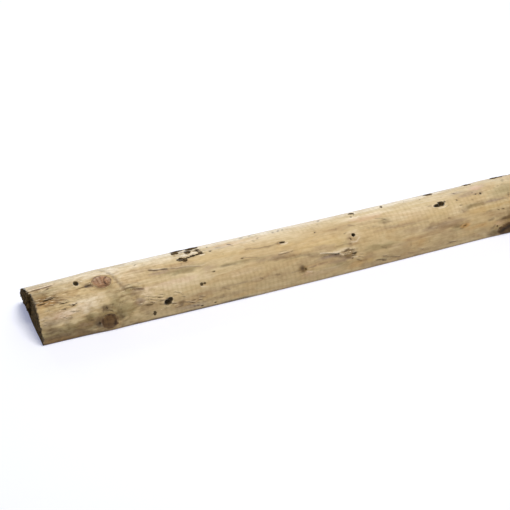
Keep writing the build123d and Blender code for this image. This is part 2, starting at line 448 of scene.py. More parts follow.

# %% [markdown]
# ## Smudges and pale fibres
#
# Resin and dirt darken the wood in soft streaks. The shade under a lifted fibre or edge is
# painted in the same way, and so is the highlight on a fresh fibre that catches the light. They
# could be painted into an image. Strokes that are worked out at the points of the mesh need no
# file beside the script, and each can be moved by changing one number.

# %% Smudges and pale fibres
# Smudges, streaks and painted shade below lifted edges: width, darkness, then the points of the line
SHADES = (
    # round the first two knots
    (5, 0.22, (8, 18.5), (20, 18), (45, 17)), (4, 0.4, (63, 30), (70, 28.5)),
    (6, 0.35, (88.5, 41), (89.5, 32)), (3, 0.5, (92.5, 33), (98, 29.5)),
    (8, 0.25, (104, 32), (118, 40), (130, 50), (138, 61)), (8, 0.25, (132, 42), (137, 26), (146, 12)),
    (5, 0.65, (72.5, 78), (81, 76)), (4, 0.35, (78, 76), (82, 73)), (4, 0.35, (68, 11), (80, 9)),
    (6, 0.35, (103.5, 27), (109, 18)), (5, 0.3, (74, 22), (73, 9)), (3.5, 0.35, (64, 26), (69, 24)),
    (3, 0.5, (75, 14), (76.5, 20)), (1.4, 0.5, (86, 40), (84, 33)), (1.6, 0.8, (89.5, 39), (90.5, 36)),
    (1.8, 0.9, (94, 32.5), (96.5, 30.5)), (1.6, 0.5, (103.5, 29), (104.5, 26)),
    (1.2, 0.45, (108, 40), (104, 30)), (1.2, 0.4, (113, 43), (108, 31)), (1, 0.35, (117, 45), (113, 35)),
    (1.2, 0.4, (99, 41), (97, 36)), (1.5, 0.4, (106, 22), (109, 18)), (2, 0.35, (107, 27), (111, 19)),
    (1.5, 0.6, (80, 77), (83, 74)), (1.2, 0.4, (78, 84), (79, 80)), (2.2, 0.8, (72.5, 78.5), (78, 79.5)),
    (1.4, 0.4, (40, 76), (55, 77), (72, 78)),
    (6, 0.45, (99, 110), (106, 98), (110, 88), (112.5, 77), (115.5, 67), (119, 58)),
    (2.8, 0.95, (102, 87.5), (98, 84), (96.3, 79.5), (97.6, 74.5)),
    (1.6, 0.4, (84.5, 87), (84, 81), (86, 76)), (1.8, 0.45, (88.3, 91), (88.6, 83), (89.3, 76)),
    (1.6, 0.3, (93.5, 92), (94, 85), (94, 77)), (2.4, 0.6, (84, 74.5), (90, 71.5), (97, 71)),
    (2.2, 0.5, (98, 72.5), (103, 75), (105.5, 80)), (1.4, 0.5, (101, 76), (103.5, 81)),
    (2.5, 0.45, (81.5, 21), (81.5, 12)), (6, 0.75, (96.5, 23), (98.5, 17), (97, 9.5)),
    (1.6, 0.3, (87.5, 23), (88, 10)), (3, 0.4, (84, 26), (92, 26.5)), (3, 0.2, (83, 8.5), (95, 7)),
    (3.5, 0.7, (77, 18), (79.5, 10)), (2, 0.4, (82, 9), (86, 6.5)),
    (2.2, 0.5, (86, 27), (94, 26.5), (99, 22)), (1.8, 0.55, (120, 58.5), (127, 59), (133, 57.5)),
    (3, 0.6, (132, 54.5), (138, 53.5), (143, 52)), (2, 0.4, (120, 63.5), (126, 64)),
    (1.6, 0.4, (134, 65.5), (138, 65)), (2.2, 0.35, (112, 50), (122, 44), (128, 38)),
    (1.5, 0.5, (138, 27.5), (150, 26)), (1.2, 0.3, (138, 24), (150, 23)), (1.6, 0.5, (23, 93), (26, 96)),
    (1.8, 0.4, (17, 91), (22, 92)), (2.5, 0.35, (0, 88), (12, 87), (30, 88)),
    (1.5, 0.4, (2, 69.5), (10, 70), (20, 67)), (2, 0.45, (144, 101.5), (147, 102)),
    # the bark that hems a pale patch, and on to the little pocket
    (2.4, 0.9, (199, 112), (206, 108.5), (214, 107.5), (222, 107), (230, 106), (236, 102)),
    (3, 0.95, (233, 104), (235.5, 95)), (2, 0.9, (214, 89.5), (221, 91.5), (228, 91.5), (236, 93)),
    (3, 0.95, (200, 90.5), (204, 86.5), (210, 85.5)), (3.5, 0.8, (201.5, 112), (204, 104)),
    (3, 0.8, (217, 108), (218.5, 101)), (3, 0.9, (165.5, 23), (170, 21.5)),
    (3, 0.9, (170, 30.5), (177, 29.5)), (2.6, 0.9, (158, 81), (165, 78), (173, 76.8), (182, 75.5)),
    (1.6, 0.45, (182, 76), (195, 72.5), (207, 72), (215, 69.5), (226, 67)),
    (1.6, 0.45, (202, 76), (203, 80)), (1.4, 0.35, (208, 77), (209, 79)),
    (2.5, 0.5, (238.5, 54), (242, 54.3)), (2, 0.5, (282, 64.5), (285, 64.5)),
    (2.4, 0.35, (253, 59), (265, 58.5), (273, 58.5)), (1.2, 0.4, (285, 66), (292, 63.5), (303, 60.5)),
    (2.5, 0.9, (166, 22.5), (171, 24)), (1.3, 0.4, (150, 27), (155, 25.5)),
    (1.2, 0.45, (160, 24), (165, 22.5)), (1.2, 0.4, (178, 21.5), (181, 20)),
    (4, 0.4, (186, 19), (192, 20)), (3, 0.5, (186, 16.5), (190, 15.5)),
    (1.3, 0.45, (203, 18), (208, 18.5)), (1.2, 0.4, (214, 23), (217, 21.5)),
    (1.2, 0.35, (207, 24), (212, 23.5)), (1.2, 0.4, (250, 25), (257, 21.5)),
    (1.2, 0.35, (196, 12.5), (200, 12)), (1.2, 0.5, (204.5, 8.5), (206, 7.5)),
    (1.2, 0.5, (210, 8.5), (211, 7.5)), (1.2, 0.4, (218, 13), (221, 11)),
    (1.3, 0.4, (233, 15.5), (235, 14.5)), (1.3, 0.35, (240, 14), (242, 13)),
    (1.4, 0.4, (245, 12), (249, 12.5)), (2.5, 0.3, (246, 16), (247, 14)),
    (1.6, 0.35, (180, 13), (190, 13.5)), (1.4, 0.35, (165, 17), (172, 14.5)),
    (2.4, 0.3, (245, 27), (280, 27.5)), (2, 0.4, (257, 97.5), (262, 97)),
    (2.8, 0.7, (274, 99.5), (277, 97)), (2, 0.4, (278, 94), (279, 92)), (2.2, 0.6, (246, 92), (249, 93)),
    (2, 0.5, (246, 104), (247, 106)), (2, 0.4, (239, 99), (241, 96)),
    # the middle stretch
    (7, 0.36, (303, 54), (322, 52), (346, 51), (365, 47), (380, 43.5), (389, 41)),
    (5, 0.5, (389, 40), (403, 36.5), (419, 30.5), (432, 24.5)),
    (1.2, 0.6, (395, 41.2), (405, 38.3), (411, 36.9)), (1.6, 0.45, (333, 57), (340, 56.5), (347, 56.8)),
    (3, 0.4, (292, 78), (300, 78.5)),
    (2.5, 0.35, (300, 77), (310, 75.5), (325, 74), (335, 76), (341, 76)),
    (2.5, 0.4, (308, 94), (309, 91)), (2, 0.4, (315, 96), (317, 99)),
    (3.4, 0.8, (295, 110), (298, 111.5)), (3, 0.75, (308, 111), (311, 114)),
    (2.6, 0.7, (340, 103.5), (342, 108)), (2.6, 0.6, (348, 105), (351, 111)),
    (2.6, 0.6, (354, 105), (357, 111)), (2.4, 0.6, (407, 107), (410, 113)),
    (2, 0.35, (403, 98), (405, 101)), (2.2, 0.55, (392, 80), (394, 81.5)),
    (1.5, 0.3, (393, 82), (393, 96)), (2.4, 0.35, (415, 80), (420, 77)), (2, 0.35, (431, 66), (434, 67)),
    (2, 0.4, (423, 79), (422, 76)), (2.2, 0.5, (435.5, 57), (438, 54)),
    (1.5, 0.35, (441, 53), (442.5, 53)), (3, 0.4, (415, 48), (428, 49), (435, 47)),
    (8, 0.65, (359.5, 29), (360.3, 26), (360.5, 22)), (2.5, 0.4, (345, 25), (357, 25)),
    (2, 0.4, (370, 26), (380, 27)), (3, 0.35, (385, 28), (396, 28)), (2.4, 0.9, (434, 32), (439, 31.5)),
    (2.2, 0.75, (422, 37), (426, 39), (430, 39.5)), (1.6, 0.7, (431, 37), (436, 37), (438, 36)),
    (2, 0.6, (434, 28.5), (438, 28)), (1.8, 0.55, (432, 24), (434, 25.5)),
    (1.5, 0.45, (440, 20), (445, 17)), (2.2, 0.45, (301, 27.5), (304, 26)),
    (2.5, 0.35, (323, 27.5), (328, 26.5)), (2.5, 0.3, (301, 35), (303, 33)),
    (2.5, 0.3, (410, 20), (417, 20)), (4, 0.3, (420, 24), (427, 19)),
    # past the second pocket
    (2, 0.4, (482, 80), (489, 78), (494, 75), (495, 73)), (4, 0.28, (490, 68), (497, 67.5), (502, 68)),
    (6, 0.2, (474, 65), (490, 61.5), (509, 57)), (5, 0.2, (509, 56.5), (530, 54.5), (552, 53)),
    (1.6, 0.45, (551, 54), (552.5, 52)), (3, 0.35, (466, 66), (468, 65.5)),
    (3, 0.35, (474, 67), (476, 66)), (8, 0.2, (556, 45.5), (572, 41), (588, 37), (600, 37)),
    (3, 0.35, (551, 42), (562, 39.5)), (2, 0.4, (582.5, 50), (584.5, 49.5)),
    (1.8, 0.4, (590, 37.5), (592, 36.5)), (3, 0.4, (588, 32), (598, 33.5)),
    (3, 0.4, (596, 29), (600, 29)), (1.2, 0.55, (478, 14.5), (485, 13)),
    (1.4, 0.6, (468, 11.5), (478, 9.5)), (1.6, 0.65, (476, 8.5), (481, 7)),
    (1.4, 0.45, (488, 11), (495, 9), (502, 7)), (1.2, 0.35, (528, 14), (538, 9)),
    (1.4, 0.4, (515, 10), (520, 9.5)), (1.3, 0.55, (577, 10), (587, 9.5)),
    (1.2, 0.45, (572, 8.5), (580, 8.5)), (2.5, 0.35, (477, 31), (484, 27)),
    (2, 0.3, (520, 21), (521, 27)), (2, 0.3, (547, 25), (548, 20)), (1.8, 0.4, (587, 80), (588, 84)),
    (2, 0.4, (562, 79.5), (566, 79)), (1.5, 0.35, (587, 71), (589, 72)),
    (1.5, 0.35, (592, 82), (593, 84)), (1.5, 0.35, (586, 92), (588, 95)), (3, 0.3, (442, 79), (450, 76)),
    # towards the next whorl
    (2.6, 0.5, (605.5, 97), (609, 95)), (2, 0.5, (604.5, 79), (606, 77.5)),
    (2, 0.4, (606, 67), (608, 66.5)), (3.4, 0.5, (634, 81), (637, 81.5)), (4, 0.45, (641, 79), (643, 82)),
    (2, 0.35, (631, 86), (633, 87)), (1.6, 0.4, (625, 73), (627, 71)), (2, 0.45, (606, 58), (607, 54)),
    (2.5, 0.35, (601, 57), (604, 55)),
    (5, 0.2, (606, 54), (614, 59), (625, 63), (640, 64.5), (655, 63), (672, 60)),
    (2.4, 0.55, (656, 45), (659, 43.5)), (2, 0.55, (663, 44), (666, 43.5)),
    (2.5, 0.3, (640, 45), (648, 46)), (2.2, 0.6, (679, 62), (680, 65)), (1.8, 0.45, (673, 60), (675, 58)),
    (1.5, 0.4, (680, 67), (681, 69)), (2.5, 0.45, (678, 88), (680, 89)), (2, 0.4, (671, 86), (673, 88)),
    (3, 0.45, (684, 96), (686, 104)), (2.5, 0.6, (601, 31.5), (606, 33)), (3, 0.45, (641, 31), (648, 32)),
    (3, 0.45, (643, 16), (648, 20)), (2, 0.25, (650, 17), (652, 18)), (4, 0.25, (643, 10), (650, 9)),
    (7, 0.4, (662, 30), (670, 29), (682, 25.5), (700, 20)), (8, 0.7, (657, 8), (668, 12)),
    (10, 0.5, (668, 11), (700, 11)),
)

# Pale fibres and painted highlights where fibres catch the light: width, strength, then the points
PALES = (
    (0.8, 0.7, (389, 43.8), (400, 41.8), (411, 38.8), (419, 34.8)),
    (1.4, 0.4, (341, 73.3), (346, 72.3), (351, 73.5)), (1, 0.35, (335, 58.6), (346, 58.8)),
    (3, 0.7, (203, 98), (213, 94)), (2.4, 0.9, (216, 96), (229, 98)), (1.4, 0.7, (232, 88), (237, 88)),
    (1.2, 0.7, (408, 41), (418, 39.5)), (1.6, 0.6, (416, 36.5), (420, 34)),
    (1.6, 0.7, (575, 71), (581, 70.3), (587, 72)), (1.4, 0.5, (67, 96), (69, 90)),
    (1.4, 0.5, (143, 96), (147, 95)), (1.5, 0.5, (450, 94), (458, 92), (464, 97)),
    (1.5, 0.5, (436, 50), (444, 49), (449, 54)), (1.5, 0.5, (366, 21), (373, 19)),
    (1.4, 0.5, (219, 36), (225, 35)), (1.2, 0.4, (78.8, 15), (79, 9)), (1.6, 0.5, (434, 26), (440, 25.5)),
    (4, 0.14, (101.5, 86), (103, 79)), (3, 0.1, (86, 88), (86.3, 78)), (3.5, 0.12, (91, 90), (91.5, 77)),
)
print(len(SHADES), "shades,", len(PALES), "pale strokes")

# %% [markdown]
# ## Slivers
#
# A sliver is a short fibre that came loose on one side. Each has a slope, because it follows
# the knife and not quite the grain. The helper after the list measures how far points lie from
# a line and on which side of it. The cracks, steps and strokes all use it.

# %% Slivers and a rule for lines
# Slivers of lifted fibre: distance, angle, length, width, slope against the grain, strength
SLIVERS = (
    (21, 71.2, 18, 1.1, 4, 1), (26, 69.5, 9, 0.9, 3, 0.6), (24, 74, 8, 0.9, -2, 0.5),
    (12, 66, 14, 0.8, -3, 0.5), (33, 71.5, 10, 0.9, -10, 0.5), (38, 70, 12, 0.8, -10, 0.45),
    (30, 66.5, 10, 0.9, -14, 0.7), (27, 64.5, 9, 0.9, -14, 0.6), (38, 66, 12, 0.9, -12, 0.6),
    (45, 67.5, 10, 0.8, -8, 0.5), (50, 65, 10, 0.8, -12, 0.5), (33, 62, 10, 1, -8, 0.8),
    (41, 62.5, 10, 1, -12, 0.7), (36, 59.5, 9, 0.9, -6, 0.6), (47, 60, 8, 0.8, -15, 0.5),
    (23, 61, 8, 0.8, -10, 0.4), (48.5, 53, 8, 1.3, 12, 0.9), (36.5, 50.5, 5, 1.2, -12, 0.9),
    (54, 56, 6, 0.8, 8, 0.5), (43, 55, 8, 0.8, 5, 0.5), (47, 44, 9, 1.1, -12, 0.8),
    (52, 43, 6, 0.9, -8, 0.6), (34, 38.5, 6, 1, 10, 0.7), (37, 36.5, 6, 1, -5, 0.7),
    (42, 36, 5, 1, -10, 0.7), (41, 39.5, 5, 0.9, 5, 0.5), (30, 41, 5, 0.8, 0, 0.4), (5, 41, 6, 1, 8, 0.5),
    (9, 37, 5, 1, -8, 0.5), (6, 33, 5, 0.9, 0, 0.5), (10, 44, 5, 0.9, -20, 0.5), (10, 97, 14, 1, 3, 0.6),
    (18, 96, 6, 1.1, 20, 0.6), (22, 92, 8, 1.2, 30, 0.7), (25, 94, 5, 1.2, 40, 0.8),
    (14, 100, 12, 0.9, 2, 0.5), (8, 103, 12, 0.9, 2, 0.5), (20, 104, 10, 0.9, -3, 0.5),
    (28, 78, 8, 0.9, -15, 0.6), (15, 87, 16, 0.8, 0, 0.4), (30, 82, 10, 0.8, -5, 0.4),
    (20, 84, 12, 0.8, 2, 0.4), (60, 60, 10, 0.8, -8, 0.4), (57, 66, 8, 0.8, -10, 0.4),
    (146, 39.5, 10, 1, -12, 0.6), (153, 38, 12, 1, -10, 0.6), (150, 34, 12, 1, -8, 0.6),
    (157, 32, 8, 1.1, -10, 0.7), (148, 31, 8, 1, -5, 0.5), (160, 36, 5, 1, -20, 0.5),
    (161, 31, 4, 1, 20, 0.5), (184, 37, 8, 1.1, -20, 0.7), (188, 35, 8, 1, -22, 0.7),
    (182, 33, 5, 1, -20, 0.4), (193, 28, 5, 0.9, -20, 0.5), (191, 32, 5, 0.9, -20, 0.4),
    (125, 60, 12, 1.2, 2, 0.7), (136, 55, 12, 1.2, -10, 0.8), (130, 56.5, 10, 1, -6, 0.6),
    (341, 57.5, 12, 1.2, 0, 0.7), (341, 61, 11, 1, -2, 0.5), (352, 58, 5, 1.4, 10, 0.5),
    (404, 39.5, 30, 1.2, -15, 0.6), (445, 24, 10, 1, -25, 0.5), (441, 21, 8, 1, -25, 0.5),
    (447, 28, 8, 1, -10, 0.4), (427, 41, 9, 1.2, 5, 0.7), (436, 38.5, 9, 1.2, -4, 0.7),
    (437, 33.5, 8, 1.4, -2, 0.8), (435, 30, 7, 1, 3, 0.6), (205, 85, 8, 1.2, -8, 0.6),
    (480, 15.5, 9, 1, -8, 0.6), (478, 10, 12, 1, -10, 0.6), (497, 9, 10, 0.9, -10, 0.5),
    (583, 10.5, 12, 0.9, -2, 0.6), (534, 12, 12, 0.8, -16, 0.4), (206, 9.5, 5, 0.9, -15, 0.6),
    (211, 9.5, 4, 0.9, -15, 0.6),
)


def line_reach(distance, girth, line):
    """How far points lie from a line in millimetres; above it positive, below it negative."""
    points = np.array(line, float) * (1, DEGREE)
    nearest = np.full(len(distance), 1e3)
    side = np.ones(len(distance))
    for start, end in zip(points, points[1:]):
        run = end - start
        along = distance - start[0], girth - start[1]
        share = np.clip((along[0] * run[0] + along[1] * run[1]) / run.dot(run), 0, 1)
        gap = np.hypot(along[0] - share * run[0], along[1] - share * run[1])
        above = np.sign(run[0] * along[1] - run[1] * along[0])
        side = np.where(gap < nearest, above, side)
        nearest = np.minimum(gap, nearest)
    return nearest * side


print(len(SLIVERS), "slivers")

# %% [markdown]
# ## Fine mesh where it is needed
#
# A finger wide knot needs half millimetre faces, and a plain stretch of pole doesn't. Cutting
# only the faces near a feature keeps the whole rail under the triangle limit, where an even
# mesh fine enough for the knots would be ten times over it. So the first thing to know of each
# face is its place on the pole.

# %% Places on the pole
RISE = POLE_RADIUS + PITH_HEIGHT  # from the sawn face to the crown


def pole_places(points):
    """Distance from the left cut in mm, and angle over the top from the front edge."""
    points = np.array(points)
    height = np.maximum(points[:, 2], 0)  # a hair below the sawn face would turn 180 into -180
    angle = np.degrees(np.arctan2(height / RISE, -points[:, 1] / POLE_RADIUS))
    return (points[:, 0] - left_cut) / mm, angle


def round_faces(bm):
    """The faces of the round side."""
    found = []
    for face in bm.faces:
        middle = face.calc_center_median()
        radius = math.hypot(middle.y, middle.z - PITH_HEIGHT)
        if radius > 0.98 * POLE_RADIUS and abs(face.normal.x) < 0.5 and middle.z > ARRIS_WEAR:
            found.append(face)
    return found


print("faces of the round side:", len(round_faces(rail_bm)))

# %% [markdown]
# ## Rules for the fine mesh
#
# A rule says which faces are worth cutting: those near an oval feature, or those near a line.
# The faces that a rule picks are cut into four. A rule that reads the tables can't miss a
# feature, which is easy to do when faces are picked by hand.

# %% Rules and the cut
def near_any(distance, angle, features, reach):
    """Whether points lie within `reach` millimetres outside the rim of any of the features."""
    near = np.zeros(len(distance), bool)
    for place_along, place_round, length, width, *_ in features:
        grown = (place_along, place_round, length + 2 * reach, width + 2 * reach)
        near |= oval(distance, angle, grown) < 1
    return near


def near_line(distance, angle, lines, reach):
    """Whether points lie within `reach` millimetres of any of the lines."""
    near = np.zeros(len(distance), bool)
    for line in lines:
        points = [item for item in line if isinstance(item, tuple)]
        near |= abs(line_reach(distance, angle * DEGREE, points)) < reach
    return near


def refine(bm, wanted):
    """Cuts the faces of the round side that the rule picks into four."""
    faces = round_faces(bm)
    picked = wanted(*pole_places([face.calc_center_median()[:] for face in faces]))
    edges = once_each(edge for face, keep in zip(faces, picked) if keep for edge in face.edges)
    bmesh.ops.subdivide_edges(bm, edges=edges, cuts=1, use_grid_fill=True)
    print("refined", int(picked.sum()), "faces to", len(bm.faces))


on_knot = near_any(np.array([94.0, 300.0]), np.array([80.0, 80.0]), KNOTS, 0)
print("one point on a knot and one off it:", on_knot)

# %% [markdown]
# ## Three passes
#
# The first pass takes in the whole front and every larger feature. The second takes the knots,
# the bark, the specks, the slivers and the crisper lines, and the third only the pockets, the
# specks and the cracks. Each pass halves the edges once more, so the smallest faces lie only
# where the eye looks for detail. Some tools leave the points in another order on each run, so
# at the end all of them are sorted by place, and the rail comes out the same each time.

# %% Three passes of refining
FRONT_REACH = 690
BACK_LINE = 122
CRISP_WIDTH, CRISP_DARKNESS = 4, 0.4
CRISP = [line for line in SHADES if line[0] < CRISP_WIDTH and line[1] >= CRISP_DARKNESS]
FINE_LINES = (*CRACKS, *LAYER_EDGES[:5], *CRISP, *PALES[:4])
FRONT_TEARS = TEARS[:10]


def first_pass(distance, angle):
    picked = (distance < FRONT_REACH) & (angle < BACK_LINE)
    picked |= near_any(distance, angle, KNOTS + TEARS + BARK, 3)
    picked |= near_line(distance, angle, LAYER_EDGES, 4)
    return picked | (distance < 12) | (distance > rail_length / mm - 15)


def second_pass(distance, angle):
    picked = near_any(distance, angle, KNOTS + POCKETS, 2) | near_any(distance, angle, BARK, 0)
    picked |= near_any(distance, angle, FRONT_TEARS, -1) | near_any(distance, angle, MARKS, 1.2)
    picked |= near_line(distance, angle, FINE_LINES, 1.2)
    return picked | near_any(distance, angle, SLIVERS, 0.5) | (distance < 5)


def third_pass(distance, angle):
    picked = near_any(distance, angle, POCKETS, 1.5) | near_any(distance, angle, MARKS, 0)
    return picked | near_line(distance, angle, CRACKS, 0.8)


def sort_by_place(items, place):
    ranks = {item: rank for rank, item in enumerate(sorted(items, key=place))}
    items.sort(key=ranks.get)


for rule in (first_pass, second_pass, third_pass):
    refine(rail_bm, rule)
sort_by_place(rail_bm.verts, lambda vert: vert.co[:])
sort_by_place(rail_bm.edges, lambda edge: (edge.verts[0].co + edge.verts[1].co)[:])
sort_by_place(rail_bm.faces, lambda face: face.calc_center_median()[:])
triangles = sum(len(face.verts) - 2 for face in rail_bm.faces)
print("triangles:", triangles)

# %% [markdown]
# ## Three kinds of surface
#
# Knives, band saw and crosscut each leave wood that looks different, so each kind of face gets
# a finish of its own. The kind can be told from the way a face looks and from its place.
# Picking the faces by hand would have to be done again after every change.

# %% Sort the faces by how they were cut
SAWN_FACE, CUT_END = 1, 2  # the round side keeps the number 0
ENDWAYS = 0.6  # a face that looks this far along X belongs to an end
UNDER_THE_SKIN = 0.985  # in pole radii: the broken wood of the tongue lies further in than this

for face in rail_bm.faces:
    middle = face.calc_center_median()
    broken = middle.x < left_cut - FLAT or face.normal.x < -ENDWAYS
    depth = math.hypot(middle.y, middle.z - PITH_HEIGHT) / POLE_RADIUS
    broken = broken and depth < UNDER_THE_SKIN
    if abs(face.normal.x) > ENDWAYS or broken:
        face.material_index = CUT_END
    elif middle.z < 0.02 * ARRIS_WEAR:
        face.material_index = SAWN_FACE
counts = np.bincount([face.material_index for face in rail_bm.faces])
print("round, sawn, end faces:", counts)

# %% [markdown]
# ## Shape every point
#
# With all the faces in place, each point moves out from the pith by the height of the wood
# there. The heights are sums of simple parts: soft waves left by the knives, whorls that
# swell the stem, domed knots with a sunk rim, pits, and fibres pulled up in long thin ridges.
# Noise that is stretched along the grain makes the fibres. Numpy works on all the points at
# once, and the same numbers are kept as attributes, so that the colours follow the shapes.

# %% Points of the mesh
raw = np.array([vert.co[:] for vert in rail_bm.verts])
distance, angle = pole_places(raw)
girth = angle * DEGREE
radius = np.hypot(raw[:, 1], raw[:, 2] - PITH_HEIGHT)


def smooth_step(low, high, value):
    """Goes softly from 0 to 1 while the value goes from low to high."""
    share = np.clip((value - low) / (high - low), 0, 1)
    return share * share * (3 - 2 * share)


def blank(value=0.0):
    """One number for each point of the mesh, all of them alike to begin with."""
    return np.full(len(raw), value)


def grain_noise(along, across, seed, octaves=3):
    """Noise stretched along the grain: one value of about -1 to 1 for each point."""
    places = np.stack([distance / along, girth / across, blank(seed)], 1)
    return np.array([noise.fractal(place, 1.0, 2.0, octaves) for place in places.tolist()])


is_round = smooth_step(0.965 * POLE_RADIUS, 0.995 * POLE_RADIUS, radius)
# Points that were added in the middle of an edge lie a hair inside the circle: back onto it
onto_circle = np.where(is_round > 0.9, POLE_RADIUS / radius, 1.0)
raw[:, 1] *= onto_circle
raw[:, 2] = PITH_HEIGHT + (raw[:, 2] - PITH_HEIGHT) * onto_circle
radius = radius * onto_circle
broad_noise = grain_noise(60, 22, 4.1, 2)
patch_noise = grain_noise(14, 6, 7.3, 3)
fibres = grain_noise(17, 2.2, 5.2, 3)
coarse_fibres = grain_noise(26, 5.0, 6.6, 2)
print(len(raw), "points,", int(is_round.sum()), "on the round side")

# %% [markdown]
# ## Knives and whorls
#
# A turning knife never follows the stem quite evenly and leaves soft waves of a few tenths of
# a millimetre. Where a whorl of branches grew, the stem is a millimetre thicker. Slow noise
# makes the waves, and a bell curve along the rail makes each swelling.

# %% Knives and whorls
knife_waves = 0.4 * grain_noise(140, 26, 1.7, 2) + 0.22 * grain_noise(40, 8, 8.1, 2)
swelling = sum(
    height * np.exp(-(((distance - place) / (length / 2)) ** 2)) for place, length, height in WHORLS
)
print("knife waves, mm:", knife_waves.min().round(2), knife_waves.max().round(2))

# %% [markdown]
# ## Knots and pockets
#
# A sound knot is harder than the wood round it. The knives leave it as a low dome, with a
# groove where its bark was and a raised collar beyond. A fallen knot leaves a pocket. Both
# come from one number, how far a point lies from the middle of an oval, and that number is
# kept for the colours too.

# %% Knots and pockets
FAR_OFF = 4.0  # in knot radii: further away than this no knot or pocket matters
GROOVE_DEPTH = 0.7
COLLAR_HEIGHT = 0.7

knot_field = blank(FAR_OFF)
knot_red = blank()
knot_dark = blank()
knot_height = blank()
for *patch, proud, red, dark in KNOTS:
    field = oval(distance, angle, patch) + 0.12 * grain_noise(7, 5, 3.3, 2)
    nearer = field < knot_field
    knot_red = np.where(nearer, red, knot_red)
    knot_dark = np.where(nearer, dark, knot_dark)
    knot_field = np.minimum(knot_field, field)
    dome = proud * np.sqrt(np.clip(1 - field**2, 0, 1))
    groove = -GROOVE_DEPTH * np.exp(-(((field - 1.0) / 0.08) ** 2))
    collar = COLLAR_HEIGHT * np.exp(-np.clip(field - 1.0, 0, None) / 0.45) * (field > 1.0)
    knot_height += dome + groove + collar

SHALLOW = 4  # mm; light reaches the bottom of a pocket that is less deep
LIT_BOTTOM = 0.88

pocket_field = blank(FAR_OFF)
pocket_depth = blank()
for *patch, depth in POCKETS:
    field = oval(distance, angle, patch) * (1 + 0.15 * patch_noise)
    bottom = LIT_BOTTOM if depth < SHALLOW else 0.0
    pocket_field = np.minimum(pocket_field, np.maximum(field, bottom))
    pocket_depth = np.maximum(pocket_depth, depth * (1 - smooth_step(0.5, 1.05, field)))
print("deepest pocket, mm:", pocket_depth.max().round(1))

# %% [markdown]
# ## Torn fibres and bark
#
# Torn wood is rough with long thin ridges, and bark lies on it as a crumbly layer. Noise that
# is stretched along the grain makes the ridges, but only inside the torn patches. More noise
# in the ovals themselves gives the patches ragged rims.

# %% Raise torn fibres and bark
torn = blank()
for *patch, strength in TEARS:
    field = oval(distance, angle, patch) + 0.35 * patch_noise
    torn = np.maximum(torn, strength * (1 - smooth_step(0.45, 1.05, field)))
torn_height = torn * np.clip(2.0 * fibres + 1.0 * coarse_fibres - 0.1, -0.7, 0.8)

bark = blank()
for patch in BARK:
    field = oval(distance, angle, patch) + 0.35 * grain_noise(5, 3, 2.9, 3)
    bark = np.maximum(bark, 1 - smooth_step(0.8, 1.0, field))
bark_height = bark * (0.6 + 0.6 * grain_noise(6, 3, 4.8, 3))
print("highest bark, mm:", bark_height.max().round(2))

# %% [markdown]
# ## Specks and cracks
#
# A crack is darkest in its middle and thins out towards its ends. It is far finer than the
# faces of the mesh, so its dark is painted shade of the gap, with a shallow dent below. Cutting
# it as a real gap would take many more faces and show no better.

# %% Sink specks and cracks
MARK_DEPTH = 0.5


def fade_at_ends(line, share):
    """1 along a line, going to 0 over this share of its length at either end."""
    start, end = line[0][0], line[-1][0]
    taper = share * (end - start)
    return smooth_step(start, start + taper, distance) * smooth_step(end, end - taper, distance)


specks_and_gap_shade = blank()
for *patch, darkness in MARKS:
    field = oval(distance, angle, patch) + 0.3 * patch_noise + 0.15 * fibres
    specks_and_gap_shade = np.maximum(specks_and_gap_shade, darkness * (1 - smooth_step(0.45, 1.2, field)))
# the dark of a crack is painted shade of its gap; the specks above keep their own dark
for width, darkness, *line in CRACKS:
    gap = abs(line_reach(distance, girth, line)) + 0.5 * patch_noise
    crack = darkness * fade_at_ends(line, 0.35)
    specks_and_gap_shade = np.maximum(specks_and_gap_shade, crack * (1 - smooth_step(0.15 * width, 0.9 * width, gap)))
mark_height = -MARK_DEPTH * specks_and_gap_shade
print("dark points:", int((specks_and_gap_shade > 0.5).sum()))

# %% [markdown]
# ## Soft strokes
#
# A stroke darkens or lightens the points near a line and fades out at its sides, like the mark
# of a soft pencil. Only the points close to a line are worked on, because hundreds of lines
# against every point of the rail would be slow.

# %% Soft strokes
shade = blank()
pale = blank()


def stroke(target, width, strength, line):
    """Lays a soft stroke along a line, where it is stronger than what is there already."""
    ends = np.array(line, float)
    middle = (ends.max(0) + ends.min(0)) / 2
    near = abs(distance - middle[0]) < np.ptp(ends[:, 0]) / 2 + width + 1
    near &= abs(girth - middle[1] * DEGREE) < np.ptp(ends[:, 1]) / 2 * DEGREE + width + 1
    near = np.flatnonzero(near)
    gap = abs(line_reach(distance[near], girth[near], line)) + 0.3 * width * patch_noise[near]
    laid = strength * (1 - smooth_step(0.1 * width, 0.5 * width + 0.6, gap))
    target[near] = np.maximum(target[near], laid)


for width, darkness, *line in SHADES:
    stroke(shade, width, darkness, line)
for width, strength, *line in PALES:
    stroke(pale, width, strength, line)
print("shaded points:", int((shade > 0.2).sum()))

# %% [markdown]
# ## Raise the slivers
#
# A lifted fibre shows three things: a ridge whose top is lightened as a painted highlight, a
# dark gap under its free side that is painted shadow, and a little more painted shade. All of
# them come from the same two distances, along the sliver and across it, so they always lie
# together.

# %% Raise the slivers
ROOM_FOR_A_SLIVER = 22  # square millimetres of torn wood
SLIVER_HEIGHT = 1.1
TEARS_IN_THE_TABLE = 6  # the table of slivers covers these, and the rest are dealt out

